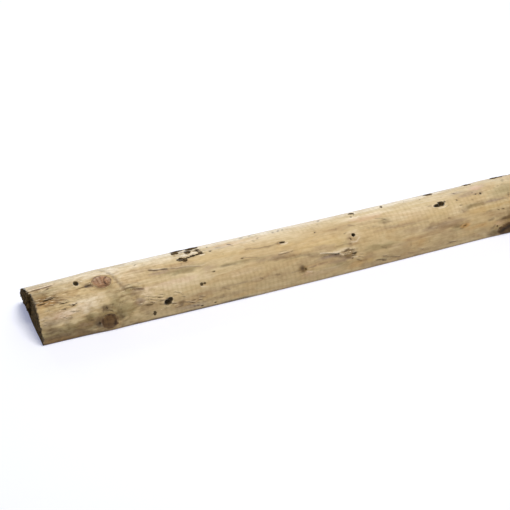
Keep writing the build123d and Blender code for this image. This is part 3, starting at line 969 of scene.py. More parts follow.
all_slivers = list(SLIVERS)
for place_along, place_round, length, width, strength in TEARS[TEARS_IN_THE_TABLE:]:
    for _ in range(round(strength * length * width / ROOM_FOR_A_SLIVER)):
        all_slivers.append((
            place_along + dealer.uniform(-0.45, 0.45) * length,
            place_round + dealer.uniform(-0.4, 0.4) * width / DEGREE,
            dealer.uniform(5, 13), dealer.uniform(0.7, 1.4),
            dealer.gauss(-6, 8), dealer.uniform(0.4, 0.9),
        ))
for place_along, place_round, length, width, slope, strength in all_slivers:
    near = abs(distance - place_along) < length / 2
    near &= abs(girth - place_round * DEGREE) < length / 4 + 3 * width
    near = np.flatnonzero(near)
    run, climb = math.cos(math.radians(slope)), math.sin(math.radians(slope))
    gone, up = distance[near] - place_along, girth[near] - place_round * DEGREE
    along = (gone * run + up * climb) / (length / 2)
    over = (up * run - gone * climb) / width + 0.5 * fibres[near]
    ends = np.sqrt(np.clip(1 - along**2, 0, 1)) * strength
    ridge = ends * smooth_step(-0.2, 0.25, over) * smooth_step(2.4, 0.4, over)
    gap = ends * smooth_step(-1.3, -0.5, over) * smooth_step(0.1, -0.3, over)
    torn_height[near] = np.maximum(torn_height[near], SLIVER_HEIGHT * ridge) - 0.5 * gap
    # the top of the ridge is lightened as a painted highlight, and the gap darkened as painted shadow
    pale[near] = np.maximum(pale[near], 0.28 * ridge)
    shade[near] = np.maximum(shade[near], gap)
    specks_and_gap_shade[near] = np.maximum(specks_and_gap_shade[near], 0.55 * gap * smooth_step(0.4, 0.9, gap))
print(len(all_slivers), "slivers raised")

# %% [markdown]
# ## Steps where a layer tore away
#
# A torn layer ends in a step. It is highest at its edge and runs out over a few millimetres
# above. Steps of half a millimetre hardly show by themselves, so a painted shade below the edge
# and a painted highlight on the lip above it are laid at the same time.

# %% Layer steps
RUN_OUT = 8  # mm over which a step gets about a third as high

layer_height = blank()
for height, *line in LAYER_EDGES:
    present = fade_at_ends(line, 0.2)
    above = line_reach(distance, girth, line) + 0.5 * patch_noise
    step = smooth_step(-0.5, 0.5, above) * np.exp(-np.clip(above, 0, None) / RUN_OUT)
    layer_height += height * present * step
    # painted shade below the edge, and a painted highlight on the lip above it
    under = smooth_step(-1.6, -0.5, above) * smooth_step(0.4, -0.2, above)
    shade = np.maximum(shade, 0.8 * height * present * under)
    lip = smooth_step(0.0, 0.5, above) * smooth_step(2.2, 0.8, above)
    pale = np.maximum(pale, 0.7 * height * present * lip)
print("highest step, mm:", layer_height.max().round(2))

# %% [markdown]
# ## Painted contact shade and dirty ends
#
# Both bottom edges, where the rail sits on the floor, are darkened as painted contact shade, and
# the open end grain soaks up dirt. The reach of both wanders, as a straight line would look
# painted on. With that the last number for the colours is known, and all the heights are
# added up in millimetres.

# %% Painted contact shade, dirty ends and the sum
# painted contact shade: both bottom edges, where the rail sits on the floor, are darkened
edge_gap = np.minimum(angle, 180 - angle) + 1.2 * patch_noise
shade = np.maximum(shade, 0.3 * smooth_step(4.0, 0.8, edge_gap))

# Dirt from the cut ends creeps a few millimetres round the rim
dirt_reach = 2.2 + 2.5 * smooth_step(50, 62, angle)
end_dirt = smooth_step(dirt_reach, -0.6, distance + 2.2 * patch_noise) * is_round
tongue_dirt = smooth_step(-1.6, -4.2, distance + 1.5 * patch_noise) * is_round
end_dirt = np.where(angle > 92, tongue_dirt, end_dirt)
end_dirt = np.maximum(end_dirt, 0.8 * smooth_step(1795, 1798, distance + 2 * patch_noise) * is_round)

relief = (
    knife_waves + swelling + knot_height - pocket_depth
    + torn_height + bark_height + mark_height + layer_height
)
print("relief, mm:", relief[is_round > 0.5].min().round(2), relief[is_round > 0.5].max().round(2))

# %% [markdown]
# ## Lift, sway and saw marks
#
# The round side takes its relief and the measured sway and swell. The sawn face stays flat at
# the floor, apart from the shallow strokes of the band saw, which cut up into the wood. The
# ends get the fuzz of the crosscut.

# %% Move the points
SAW_STROKE = 4.2  # mm from one stroke of the band saw to the next
SAW_DEPTH = 0.16
RELIEF_SHARE = 0.75  # keeps the highest fibres inside the CAD box

pole_radius = np.interp(raw[:, 0], station_x, station_radius)
pole_sway = np.interp(raw[:, 0], station_x, station_sway)
lift = (pole_radius - POLE_RADIUS) * radius / POLE_RADIUS
lift = lift + RELIEF_SHARE * relief * mm * is_round
shaped = raw.copy()
shaped[:, 1] += pole_sway + lift * raw[:, 1] / radius
shaped[:, 2] += lift * (raw[:, 2] - PITH_HEIGHT) / radius * smooth_step(0, 6 * mm, raw[:, 2])

on_flat = raw[:, 2] < 0.05 * mm
saw_wave = np.sin(2 * math.pi * distance / SAW_STROKE + 2.5 * broad_noise)
saw_cut = SAW_DEPTH * (0.5 + 0.5 * saw_wave) * (0.6 + 0.4 * patch_noise)
shaped[:, 2] = np.where(on_flat, np.clip(saw_cut, 0, None) * mm, np.maximum(shaped[:, 2], 0))
print("deepest saw stroke, mm:", saw_cut.max().round(2))

# %% [markdown]
# ## Rough ends
#
# A crosscut through wet wood leaves a fuzzy face, and broken wood is rougher still. Noise
# pushes the points of the ends along the rail, and the tongue gets thinner towards its rim. A
# bump in the finish alone would leave the outline of the end straight.

# %% Rough ends
END_FUZZ = 0.55
FUZZ_GRAIN = 2.2
MOST_BROKEN = 3.6  # mm; the tongue keeps the rest of its length

fuzz_places = raw[:, 1] / mm / FUZZ_GRAIN, raw[:, 2] / mm / FUZZ_GRAIN, np.sign(raw[:, 0]) * 3
fuzz_places = np.stack(fuzz_places, 1)
fuzz = np.array([noise.fractal(place, 0.8, 2.0, 3) for place in fuzz_places.tolist()])
at_left = 1 - smooth_step(0, 3 * mm, raw[:, 0] - left_cut)
at_right = 1 - smooth_step(0, 3 * mm, cad_high.x - raw[:, 0])
skew = 1.6 * smooth_step(-5 * mm, 45 * mm, raw[:, 1]) * smooth_step(15 * mm, 12 * mm, raw[:, 2])
shaped[:, 0] += at_left * skew * mm  # the saw ran a little askew towards the back edge
shaped[:, 0] += END_FUZZ * mm * (at_left * (0.5 + fuzz) - at_right * (0.6 + fuzz))
tongue = smooth_step(0, 3 * mm, left_cut - raw[:, 0])
thin_below = 1.8 * smooth_step(30 * mm, TONGUE_UNDERSIDE, raw[:, 2])
thin_beside = 0.8 * smooth_step(16 * mm, TONGUE_START, raw[:, 1])
round_nose = 1.2 * smooth_step(0.9 * POLE_RADIUS, POLE_RADIUS, radius)
tongue_break = np.clip(thin_below + thin_beside + round_nose + 1.5 * fuzz, 0, MOST_BROKEN)
shaped[:, 0] += tongue * tongue_break * mm
shaped[:, 0] = np.clip(shaped[:, 0], cad_low.x, cad_high.x)

for vert, place in zip(rail_bm.verts, shaped.tolist()):
    vert.co = place
rail_bm.normal_update()
print("rail, m:", shaped.min(0).round(4), shaped.max(0).round(4))

# %% [markdown]
# ## Stains
#
# Fresh treated softwood isn't one colour. Sap, treatment and dirt tint it in long patches from
# cream to olive. Each patch is an oval with a ragged rim that mixes a named colour into the
# wood, so the list below works like a set of watercolour washes, laid one over the other.

# %% Colours of the wood
WOOD = {
    "straw": (0.600, 0.460, 0.250),
    "cream": (0.740, 0.600, 0.400),
    # the next colour is chalky fibre, and along the crown it is also a painted highlight
    "chalk": (0.800, 0.690, 0.530),
    "gold": (0.600, 0.430, 0.195),
    "orange": (0.540, 0.320, 0.110),
    "pink": (0.640, 0.440, 0.290),
    "lilac": (0.370, 0.275, 0.195),
    "tan": (0.430, 0.300, 0.155),
    "olive": (0.330, 0.255, 0.115),
    "brown": (0.210, 0.140, 0.065),
    "umber": (0.110, 0.072, 0.035),
    "honey": (0.270, 0.165, 0.052),
    # the next colour is painted contact shade for the edges on the floor, not a colour of the wood
    "contact_shade": (0.120, 0.105, 0.085),
}

# Stains: distance, angle, length, width, colour, strength
STAINS = (
    # the left end
    (35, 14, 120, 26, "olive", 0.8), (45, 4, 150, 12, "brown", 0.7), (17, 21, 26, 9, "brown", 0.6),
    (70, 22, 22, 18, "brown", 0.5), (93, 36, 34, 10, "brown", 0.45), (106, 22, 14, 20, "olive", 0.8),
    (48, 12, 24, 8, "orange", 0.3), (58, 20, 20, 7, "lilac", 0.6), (64, 27, 16, 10, "olive", 0.6),
    (30, 38, 62, 22, "lilac", 0.35), (35, 42, 40, 10, "pink", 0.4), (75, 53, 52, 17, "cream", 0.6),
    (8, 60, 14, 13, "gold", 0.8), (9, 66, 14, 4, "orange", 0.7), (25, 86, 62, 34, "olive", 0.35),
    (60, 73, 60, 20, "gold", 0.3), (20, 101, 44, 14, "pink", 0.4), (60, 106, 80, 14, "cream", 0.5),
    (108, 30, 44, 36, "olive", 0.5), (134, 36, 16, 13, "lilac", 0.6), (147, 45, 22, 9, "cream", 0.6),
    (120, 9, 60, 12, "olive", 0.15), (100, 58, 24, 30, "olive", 0.3), (130, 85, 44, 40, "cream", 0.4),
    (90, 37, 14, 8, "brown", 0.35), (86, 17, 34, 24, "olive", 0.4), (112, 98, 22, 24, "chalk", 0.6),
    (145, 100, 18, 13, "cream", 0.6), (17, 70, 46, 18, "honey", 0.8), (6, 84, 30, 20, "honey", 0.35),
    (15, 66, 26, 5, "orange", 0.5), (10, 28, 44, 12, "brown", 0.35), (28, 17, 50, 9, "brown", 0.3),
    (60, 21, 44, 16, "honey", 0.4), (77, 19, 13, 17, "brown", 0.7), (70, 31, 18, 9, "olive", 0.5),
    (126, 55, 30, 18, "olive", 0.6), (132, 50, 16, 10, "tan", 0.5), (55, 44, 46, 14, "chalk", 0.55),
    (107, 20, 16, 20, "brown", 0.45), (118, 66, 14, 18, "tan", 0.4), (148, 84, 26, 8, "tan", 0.4),
    (77, 77, 11, 9, "tan", 0.6), (94, 70, 26, 8, "olive", 0.5), (30, 11, 90, 9, "brown", 0.6),
    (24, 4, 70, 8, "honey", 0.7), (112, 28, 34, 26, "olive", 0.4), (76, 79, 12, 8, "brown", 0.5),
    (77, 13, 8, 12, "umber", 0.5), (130, 48, 22, 14, "honey", 0.25), (92, 98, 34, 9, "chalk", 0.5),
    (10, 100, 26, 16, "tan", 0.5), (200, 70, 90, 9, "honey", 0.22), (42, 84, 26, 9, "cream", 0.4),
    (62, 52, 30, 9, "chalk", 0.3),
    # as far as the little pocket
    (168, 72, 36, 7, "lilac", 0.5), (204, 66, 84, 8, "olive", 0.65), (195, 49, 110, 16, "cream", 0.4),
    (185, 53, 80, 8, "pink", 0.3), (212, 80, 40, 10, "gold", 0.4), (208, 79, 22, 6, "orange", 0.3),
    (255, 80, 90, 18, "gold", 0.35), (235, 63, 18, 9, "lilac", 0.5), (265, 60, 50, 5, "olive", 0.5),
    (262, 38, 110, 26, "tan", 0.1), (275, 17, 36, 9, "lilac", 0.1), (272, 9, 40, 6, "orange", 0.2),
    (190, 14, 66, 14, "tan", 0.5), (200, 8, 60, 7, "lilac", 0.4), (285, 27, 60, 4, "brown", 0.25),
    (150, 22, 40, 16, "tan", 0.5), (250, 14, 50, 9, "tan", 0.4), (218, 97, 30, 9, "chalk", 0.8),
    (175, 98, 60, 14, "cream", 0.5), (290, 100, 80, 12, "pink", 0.3), (205, 76, 34, 10, "tan", 0.5),
    (205, 69, 70, 7, "olive", 0.4), (235, 62, 28, 15, "tan", 0.6), (200, 24, 76, 9, "tan", 0.4),
    (250, 27, 100, 9, "tan", 0.5), (262, 95, 34, 7, "lilac", 0.4), (294, 95, 16, 7, "lilac", 0.3),
    (280, 43, 66, 9, "cream", 0.35),
    # the middle stretch
    (330, 93, 160, 24, "cream", 0.3), (345, 68, 36, 12, "gold", 0.5), (345, 52, 90, 9, "tan", 0.6),
    (300, 58, 60, 5, "olive", 0.35), (345, 73, 14, 3, "cream", 0.8), (365, 47, 60, 6, "olive", 0.4),
    (402, 36, 44, 6, "lilac", 0.7), (418, 26, 44, 9, "lilac", 0.5), (375, 29, 50, 3, "orange", 0.4),
    (385, 27, 40, 3, "pink", 0.4), (418, 18, 50, 12, "olive", 0.4), (438, 12, 30, 12, "orange", 0.4),
    (366, 18, 14, 8, "pink", 0.5), (361, 12, 16, 6, "gold", 0.5), (432, 78, 60, 12, "tan", 0.4),
    (428, 50, 60, 10, "olive", 0.35), (442.5, 60, 22, 20, "cream", 0.6), (448, 92, 30, 10, "cream", 0.5),
    (330, 30, 80, 20, "tan", 0.3), (380, 12, 70, 12, "tan", 0.3), (425, 41, 30, 5, "cream", 0.6),
    (395, 56, 100, 24, "gold", 0.6), (394, 50, 40, 11, "tan", 0.6), (372, 39, 46, 13, "tan", 0.5),
    (388, 30, 66, 7, "tan", 0.5), (431, 33, 22, 13, "brown", 0.35), (438, 54, 18, 18, "tan", 0.6),
    (341, 75, 16, 6, "orange", 0.5), (332, 56, 46, 5, "tan", 0.5), (361, 25, 16, 12, "honey", 0.7),
    (430, 34, 26, 13, "honey", 0.55), (341, 76, 18, 7, "honey", 0.5), (370, 48, 22, 9, "tan", 0.5),
    (398, 45, 36, 5, "tan", 0.6), (457, 18, 18, 16, "tan", 0.6), (295, 27, 20, 8, "cream", 0.3),
    (458, 8, 34, 8, "tan", 0.6), (395, 15, 66, 8, "cream", 0.3), (310, 26, 100, 7, "tan", 0.35),
    # past the second pocket
    (468, 86, 46, 14, "pink", 0.45), (486, 74, 26, 5, "tan", 0.4), (530, 74, 84, 20, "cream", 0.35),
    (470, 56, 60, 26, "orange", 0.15), (512, 57, 80, 6, "tan", 0.5), (475, 32, 60, 9, "olive", 0.5),
    (572, 41, 66, 12, "lilac", 0.5), (574, 38, 66, 10, "tan", 0.4), (562, 46, 24, 8, "tan", 0.6),
    (528, 26, 50, 18, "orange", 0.3), (459, 13, 12, 7, "gold", 0.6), (482, 11, 46, 3, "olive", 0.6),
    (575, 22, 60, 14, "tan", 0.4), (590, 31, 24, 8, "olive", 0.5), (505, 16, 60, 14, "tan", 0.4),
    (585, 95, 60, 16, "cream", 0.3), (582, 9, 20, 3, "brown", 0.5), (520, 45, 60, 12, "tan", 0.2),
    (580, 65, 60, 16, "gold", 0.3), (460, 76, 46, 6, "tan", 0.4), (492, 68, 18, 9, "tan", 0.4),
    (532, 47, 52, 9, "tan", 0.55), (505, 27, 46, 8, "tan", 0.5), (555, 31, 80, 9, "tan", 0.55),
    (550, 8, 200, 6, "tan", 0.5),
    # towards the next whorl
    (611, 95, 26, 9, "lilac", 0.4), (642, 97, 26, 9, "lilac", 0.4), (609, 54, 12, 9, "tan", 0.5),
    (660, 62, 66, 10, "tan", 0.5), (680, 78, 38, 16, "olive", 0.5), (660, 38, 56, 18, "tan", 0.5),
    (682, 34, 40, 18, "brown", 0.5), (640, 24, 34, 12, "orange", 0.3), (648, 6, 28, 12, "brown", 0.7),
    (625, 61, 40, 9, "olive", 0.6), (640, 52, 60, 9, "gold", 0.5), (630, 86, 40, 12, "lilac", 0.4),
    (640, 98, 26, 12, "pink", 0.7), (604, 31, 16, 6, "orange", 0.7), (620, 26, 40, 8, "orange", 0.3),
    (655, 61, 36, 4, "lilac", 0.5), (665, 72, 30, 18, "olive", 0.4), (662, 28, 26, 4, "brown", 0.6),
    (655, 22, 24, 6, "pink", 0.4), (650, 12, 24, 12, "olive", 0.5), (655, 35, 40, 8, "tan", 0.4),
    (628, 15, 44, 12, "tan", 0.5), (686, 28, 46, 16, "honey", 0.7), (668, 20, 26, 8, "honey", 0.5),
    (575, 49, 50, 6, "tan", 0.5), (575, 12, 80, 9, "tan", 0.4), (492, 71, 20, 9, "olive", 0.4),
    # the four chalk washes at 113 degrees pale the crown along its length as a painted highlight
    (490, 92, 40, 8, "cream", 0.4), (180, 113, 110, 16, "chalk", 0.6), (290, 113, 130, 16, "chalk", 0.6),
    (400, 113, 150, 18, "chalk", 0.6), (530, 113, 160, 16, "chalk", 0.6), (600, 60, 30, 20, "cream", 0.3),
)
print(len(STAINS), "stains placed by hand")

# %% [markdown]
# ## Lay the washes
#
# Each wash moves the colour of the points in its oval towards a colour of its own. Noise that
# runs with the grain makes the rims ragged. The stretches that aren't listed get washes from
# the same palette, and the line along the ground is darkened last as painted contact shade.

# %% Lay the washes
PALETTE = (
    "cream", "cream", "gold", "gold", "tan", "tan", "olive", "olive", "lilac", "pink", "orange",
)
FAR_WASHES = 130
BACK_WASHES = 45

stain = np.tile(WOOD["straw"], (len(raw), 1))
rim_noise = 0.45 * patch_noise + 0.3 * broad_noise + 0.25 * fibres


def wash(patch, colour, strength):
    field = oval(distance, angle, patch) + rim_noise
    share = min(1.35 * strength, 1) * (1 - smooth_step(0.4, 1.25, field))
    stain[:] = stain + (np.array(WOOD[colour]) - stain) * share[:, None]


def deal_washes(count, distances, angles, lengths):
    for _ in range(count):
        patch = [dealer.uniform(*limits) for limits in (distances, angles, lengths, (5, 22))]
        wash(patch, dealer.choice(PALETTE), dealer.uniform(0.25, 0.65))


for *patch, colour, strength in STAINS:
    wash(patch, colour, strength)
deal_washes(FAR_WASHES, (690, 1800), (0, 180), (30, 130))
deal_washes(BACK_WASHES, (0, 690), (128, 180), (30, 110))
# painted contact shade along both edges on the floor, strongest between 100 and 310 mm
ground_line = 0.25 + 0.45 * smooth_step(100, 140, distance) * smooth_step(310, 270, distance)
contact_shade = (ground_line * smooth_step(5.0, 1.5, edge_gap))[:, None]
stain = stain + (np.array(WOOD["contact_shade"]) - stain) * contact_shade
print("stain colours from", stain.min(0).round(2), "to", stain.max(0).round(2))

# %% [markdown]
# ## Growth rings
#
# The rings of a tree are shells round its pith. The peeled side cuts only the last of them,
# where they show as long flames. Every point is given its distance from the pith, with the
# wobble of a living stem and a bend round each knot. Rings drawn on the surface alone wouldn't
# bend round the knots or meet those of the sawn face.

# %% Growth rings
ring_wobble = 2.4 * grain_noise(170, 34, 6.2, 2) + 0.35 * grain_noise(45, 9, 1.1, 2)
ring_bend = 6.5 * np.exp(-np.clip(knot_field - 1, 0, None) / 0.75)
ring_depth = radius / mm + (ring_wobble + ring_bend) * is_round - knife_waves * is_round
print("ring depth, mm:", ring_depth.min().round(1), "to", ring_depth.max().round(1))

# %% [markdown]
# ## Weathering
#
# Wood that stood in the wet goes blotchy. One number for each point says how far that has
# gone: high at the left end, low along the next stretch and patchy after it. The finish reads
# it to make its blotches stronger or weaker.

# %% Weathering
FRESH = 0.30
WORN = 0.85  # the most that the far stretch is weathered

weathered = FRESH + (1 - FRESH) * smooth_step(185, 110, distance + 25 * broad_noise)
patchy = smooth_step(640, 720, distance) * smooth_step(-0.1, 0.45, grain_noise(210, 45, 3.9, 2))
weathered = np.maximum(weathered, FRESH + (WORN - FRESH) * patchy)
print("weathered:", weathered.min().round(2), "to", weathered.max().round(2))

# %% [markdown]
# ## From points to an object
#
# The mesh becomes an object, and each number worked out above is kept with its points under a
# plain name. A finish asks for a knot or a stain by that name. It is like writing on the
# timber with chalk before the painter comes.

# %% Make the object
rail_mesh = bpy.data.meshes.new("half_round_timber")
rail_bm.to_mesh(rail_mesh)
rail_bm.free()
rail_mesh.shade_smooth()


def add_object(name, data):
    """A new object in the scene."""
    made = bpy.data.objects.new(name, data)
    bpy.context.scene.collection.objects.link(made)
    return made


rail = add_object("half_round_timber", rail_mesh)
for name, values in (
    ("knot_field", knot_field), ("knot_red", knot_red), ("knot_dark", knot_dark),
    ("pocket_field", pocket_field), ("torn", torn), ("torn_height", torn_height),
    ("bark", bark), ("specks_and_gap_shade", specks_and_gap_shade), ("pale", pale), ("shade", shade),
    ("ring_depth", ring_depth), ("weathered", weathered), ("end_dirt", end_dirt),
):
    layer = rail_mesh.attributes.new(name, "FLOAT", "POINT")
    layer.data.foreach_set("value", values.astype(np.float32))
layer = rail_mesh.attributes.new("stain", "FLOAT_COLOR", "POINT")
stain_and_alpha = np.column_stack([stain, blank(1.0)]).astype(np.float32)
layer.data.foreach_set("color", stain_and_alpha.ravel())
print("attributes:", len(rail_mesh.attributes))

# %% [markdown]
# ## A flat pattern of the rail
#
# To paint a part with a picture, its skin is first laid out flat, like the pattern of a coat.
# One long strip would leave most of a square sheet empty, so the rail's skin is cut into three
# rows of 600 mm, with the round side and the sawn face side by side in each, and the two ends
# fill the margin. All of it has one scale, so no part of the rail gets less detail.

# %% Flat pattern
SHEET = 800.0  # side of the square sheet, mm
ROW_LENGTH = 600.0
ROW_STEP = 266.5
ROW_MARGIN = 14.0  # for the faces that reach over the end of a row
FLAT_START = 213.0  # the middle of the sawn face, above the foot of its row
END_PLACE = 725.0, (12.0, 90.0)  # across the margin, and the foot of the left and right end
LEAN = 0.8  # looks at the tongue aslant, so that its sides show

corners = np.empty(len(rail_mesh.loops), np.int32)
rail_mesh.loops.foreach_get("vertex_index", corners)
face_count = len(rail_mesh.polygons)
sides, corner_counts = np.empty(face_count, np.int32), np.empty(face_count, np.int32)
middles = np.empty(face_count * 3)
rail_mesh.polygons.foreach_get("material_index", sides)
rail_mesh.polygons.foreach_get("loop_total", corner_counts)
rail_mesh.polygons.foreach_get("center", middles)
side = np.repeat(sides, corner_counts)
row = ((np.repeat(middles[::3], corner_counts) - cad_low.x) / mm) // ROW_LENGTH
along, across, up = (shaped[corners] / mm).T
sheet_x = along - cad_low.x / mm - row * ROW_LENGTH + ROW_MARGIN
sheet_y = row * ROW_STEP + np.where(side == SAWN_FACE, FLAT_START + across, girth[corners])
behind = np.clip(left_cut / mm - along, 0, None) * LEAN
end_y = np.where(along < 0, END_PLACE[1][0], END_PLACE[1][1])
sheet_x = np.where(side == CUT_END, END_PLACE[0] + across + behind, sheet_x)
sheet_y = np.where(side == CUT_END, end_y + up + behind, sheet_y)
pattern = rail_mesh.uv_layers.new(name="OFBake")
sheet_places = np.column_stack([sheet_x, sheet_y])
pattern.data.foreach_set("uv", (sheet_places / SHEET).astype(np.float32).ravel())
print("sheet used, mm: from", sheet_places.min(0).round(), "to", sheet_places.max(0).round())

# %% [markdown]
# ## Node helpers
#
# A material is a tree of small nodes. These helpers make one node in one line: a value in the
# call sets a socket, and another node's output plugs into it. Without them each node takes
# three or four lines, and the reader loses sight of the finish.

# %% Helpers
def plug(tree, socket, value):
    """Plugs another node's output into a socket, or sets the socket to a plain value."""
    if isinstance(value, bpy.types.NodeSocket):
        tree.links.new(value, socket)
    elif socket.type == "RGBA":
        socket.default_value = (*value, 1)
    else:
        socket.default_value = value


def put(tree, kind, inputs=(), **settings):
    """Adds a node. Its inputs are given in their order, or by name."""
    made = tree.nodes.new("ShaderNode" + kind)
    for name, value in settings.items():
        setattr(made, name, value)
    for key, value in inputs.items() if isinstance(inputs, dict) else enumerate(inputs):
        plug(tree, made.inputs[key], value)
    return made


def sums(tree, operation, *inputs):
    return put(tree, "Math", inputs, operation=operation).outputs[0]


def times(tree, first, second):
    return sums(tree, "MULTIPLY", first, second)


def plus(tree, first, second):
    return sums(tree, "ADD", first, second)


def point_value(tree, name, output="Fac"):
    return put(tree, "Attribute", attribute_name=name).outputs[output]


def lumps(tree, place, scale, detail):
    """Plain noise between 0 and 1. A larger scale makes smaller lumps."""
    return put(tree, "TexNoise", {"Vector": place, "Scale": scale, "Detail": detail}).outputs["Fac"]


print("node helpers: plug, put, sums, times, plus, point_value, lumps")

# %% [markdown]
# ## Helpers for colour
#
# Most of painting with nodes is fading from one thing to another. One helper turns any number
# into a soft share between 0 and 1, one mixes two colours by such a share, and one lays a
# colour over another like a thin glaze, by multiplying.

# %% Helpers for colour
def ease(tree, value, low, high, out_low=0.0, out_high=1.0):
    """Passes softly from out_low to out_high while the value goes from low to high."""
    span = {"Value": value, "From Min": low, "From Max": high, "To Min": out_low, "To Max": out_high}
    return put(tree, "MapRange", span, interpolation_type="SMOOTHSTEP").outputs[0]


def mingle(tree, share, first, second, blend_type="MIX"):
    """Mixes two colours by a share from 0 to 1."""
    made = put(tree, "Mix", (share,), data_type="RGBA", blend_type=blend_type)
    for socket, value in zip(made.inputs[6:8], (first, second)):
        plug(tree, socket, value)
    return made.outputs[2]


def tint(tree, share, colour, glaze):
    """Multiplies a colour by a glaze, by a share from 0 to 1."""
    return mingle(tree, share, colour, glaze, "MULTIPLY")


print("colour helpers: ease, mingle, tint")

# %% [markdown]
# ## Groups of nodes
#
# Effects that more than one material needs are node groups, made once, like a stencil that is
# used again and again. A group is a small tree with named sockets. These two helpers start one
# and use one, and the three groups after them hold what grows or is cut into the wood.

# %% Helpers for groups
def start_group(name, inputs, outputs):
    """A new node group, with its input and output nodes."""
    tree = bpy.data.node_groups.new(name, "ShaderNodeTree")
    for socket, kind in inputs:
        tree.interface.new_socket(socket, in_out="INPUT", socket_type="NodeSocket" + kind)
    for socket, kind in outputs:
        tree.interface.new_socket(socket, in_out="OUTPUT", socket_type="NodeSocket" + kind)
    return tree, tree.nodes.new("NodeGroupInput").outputs, tree.nodes.new("NodeGroupOutput").inputs


def use_group(tree, group, **inputs):
    made = put(tree, "Group", node_tree=group)
    for name, value in inputs.items():
        plug(tree, made.inputs[name], value)
    return made.outputs


print("group helpers: start_group, use_group")

# %% [markdown]
# ## Growth rings as a group
#
# Each year a tree lays down pale early wood and then a thin line of dark late wood, which
# stops short. The fraction of the distance in years draws that line, and the whole number of
# years picks a tone for the year. The spacing is a socket, so every finish can choose its own.

# %% Rings group
rings_group, inside, outside = start_group(
    "growth_rings",
    (("Depth", "Float"), ("Spacing", "Float")),
    (("Latewood", "Float"), ("Year", "Float")),
)
years = sums(rings_group, "DIVIDE", inside["Depth"], inside["Spacing"])
part = sums(rings_group, "FRACT", years)
grown = ease(rings_group, part, 0.35, 0.9)
stopped = ease(rings_group, part, 0.94, 1.0, 1.0, 0.0)
late = times(rings_group, grown, stopped)
year = put(rings_group, "TexWhiteNoise", {"W": sums(rings_group, "FLOOR", years)}, noise_dimensions="1D")
rings_group.links.new(late, outside["Latewood"])
rings_group.links.new(year.outputs["Value"], outside["Year"])
print(rings_group.name, len(rings_group.nodes), "nodes")

# %% [markdown]
# ## Wood fibre as a group
#
# The fibres of softwood are finer than a hair and lie in bundles that take the light
# differently. Four noises that are stretched along the rail give fine lines, broad bundles,
# mottling and patches. They run through the solid in object coordinates, so no edge of the
# rail shows a seam.

# %% Fibre group
fibre_group, inside, outside = start_group(
    "wood_fibre",
    (("Vector", "Vector"),),
    (("Fine", "Float"), ("Broad", "Float"), ("Mottle", "Float"), ("Patchy", "Float")),
)
for socket, scale, detail in (
    ("Fine", (38, 1500, 1500), 2.0),
    ("Broad", (11, 330, 330), 3.0),
    ("Mottle", (130, 240, 240), 5.0),
    ("Patchy", (9, 60, 60), 4.0),
):
    stretched = put(fibre_group, "Mapping", {"Vector": inside["Vector"], "Scale": scale}).outputs[0]
    fibre_group.links.new(lumps(fibre_group, stretched, 1.0, detail), outside[socket])
print(fibre_group.name, len(fibre_group.nodes), "nodes")

# %% [markdown]
# ## Knife chatter as a group
#
# A knife that shudders leaves faint bars across the grain, a few millimetres apart. A sine
# along the rail makes them, one noise bends them and another fades them in and out. The
# strokes of the band saw are the same thing at a shorter pitch, so the group has a pitch
# socket and serves both.

# %% Knife chatter group
chatter_group, inside, outside = start_group(
    "knife_chatter", (("Vector", "Vector"), ("Pitch", "Float")), (("Height", "Float"), ("Line", "Float"))
)
split = put(chatter_group, "SeparateXYZ", (inside["Vector"],))
bend = lumps(chatter_group, inside["Vector"], 28.0, 1.0)
turns = sums(chatter_group, "DIVIDE", split.outputs[0], inside["Pitch"])
turns = plus(chatter_group, turns, bend)
wave = sums(chatter_group, "SINE", times(chatter_group, turns, 2 * math.pi))
faint = put(chatter_group, "Mapping", {"Vector": inside["Vector"], "Scale": (7, 26, 26)}).outputs[0]
shown = ease(chatter_group, lumps(chatter_group, faint, 1.0, 2.0), 0.44, 0.60)
chatter_group.links.new(times(chatter_group, wave, shown), outside["Height"])
line = ease(chatter_group, wave, 0.60, 1.0)
chatter_group.links.new(times(chatter_group, line, shown), outside["Line"])
print(chatter_group.name, len(chatter_group.nodes), "nodes")

# %% [markdown]
# ## A new material
#
# Each finish starts the same way: a material with one shader, which gets its colour, its
# shine and its relief. Three helpers keep the start, the plain settings and the relief short.

# %% A new material
def new_material(name):
    """A material, its tree of nodes and the inputs of its shader."""
    material = bpy.data.materials.new(name)
    material.use_nodes = True
    tree = material.node_tree
    principled = next(node for node in tree.nodes if node.type == "BSDF_PRINCIPLED")
    return material, tree, principled.inputs


def set_shader(tree, shader, values):
    for name, value in values.items():
        plug(tree, shader[name], value)


def add_relief(tree, shader, height, distance, strength=1.0):
    """Bumps the surface by a height from 0 to 1, over a distance in metres."""
    bump = put(tree, "Bump", {"Height": height, "Strength": strength, "Distance": distance})
    tree.links.new(bump.outputs[0], shader["Normal"])


print("materials so far:", len(bpy.data.materials))

# %% [markdown]
# ## Peeled wood
#
# The peeled side starts from its stains. Late wood, years, fibres, patches, blotches and
# chatter come on top in thin glazes, each multiplied in by a small share. Multiplying keeps
# the colours of the stains alive, where mixing in a brown would turn all of it dull.

# %% Peeled wood
CHATTER_PITCH = 0.0062  # metres from one bar to the next
PEELED_RING_SPACING = 2.1  # mm of growth in a year

peeled, tree, shader = new_material("peeled_softwood")
place = put(tree, "TexCoord").outputs["Object"]
fibre = use_group(tree, fibre_group, Vector=place)
chatter = use_group(tree, chatter_group, Vector=place, Pitch=CHATTER_PITCH)
ring_depth_value = point_value(tree, "ring_depth")
rings = use_group(tree, rings_group, Depth=ring_depth_value, Spacing=PEELED_RING_SPACING)
weathered_share = point_value(tree, "weathered")

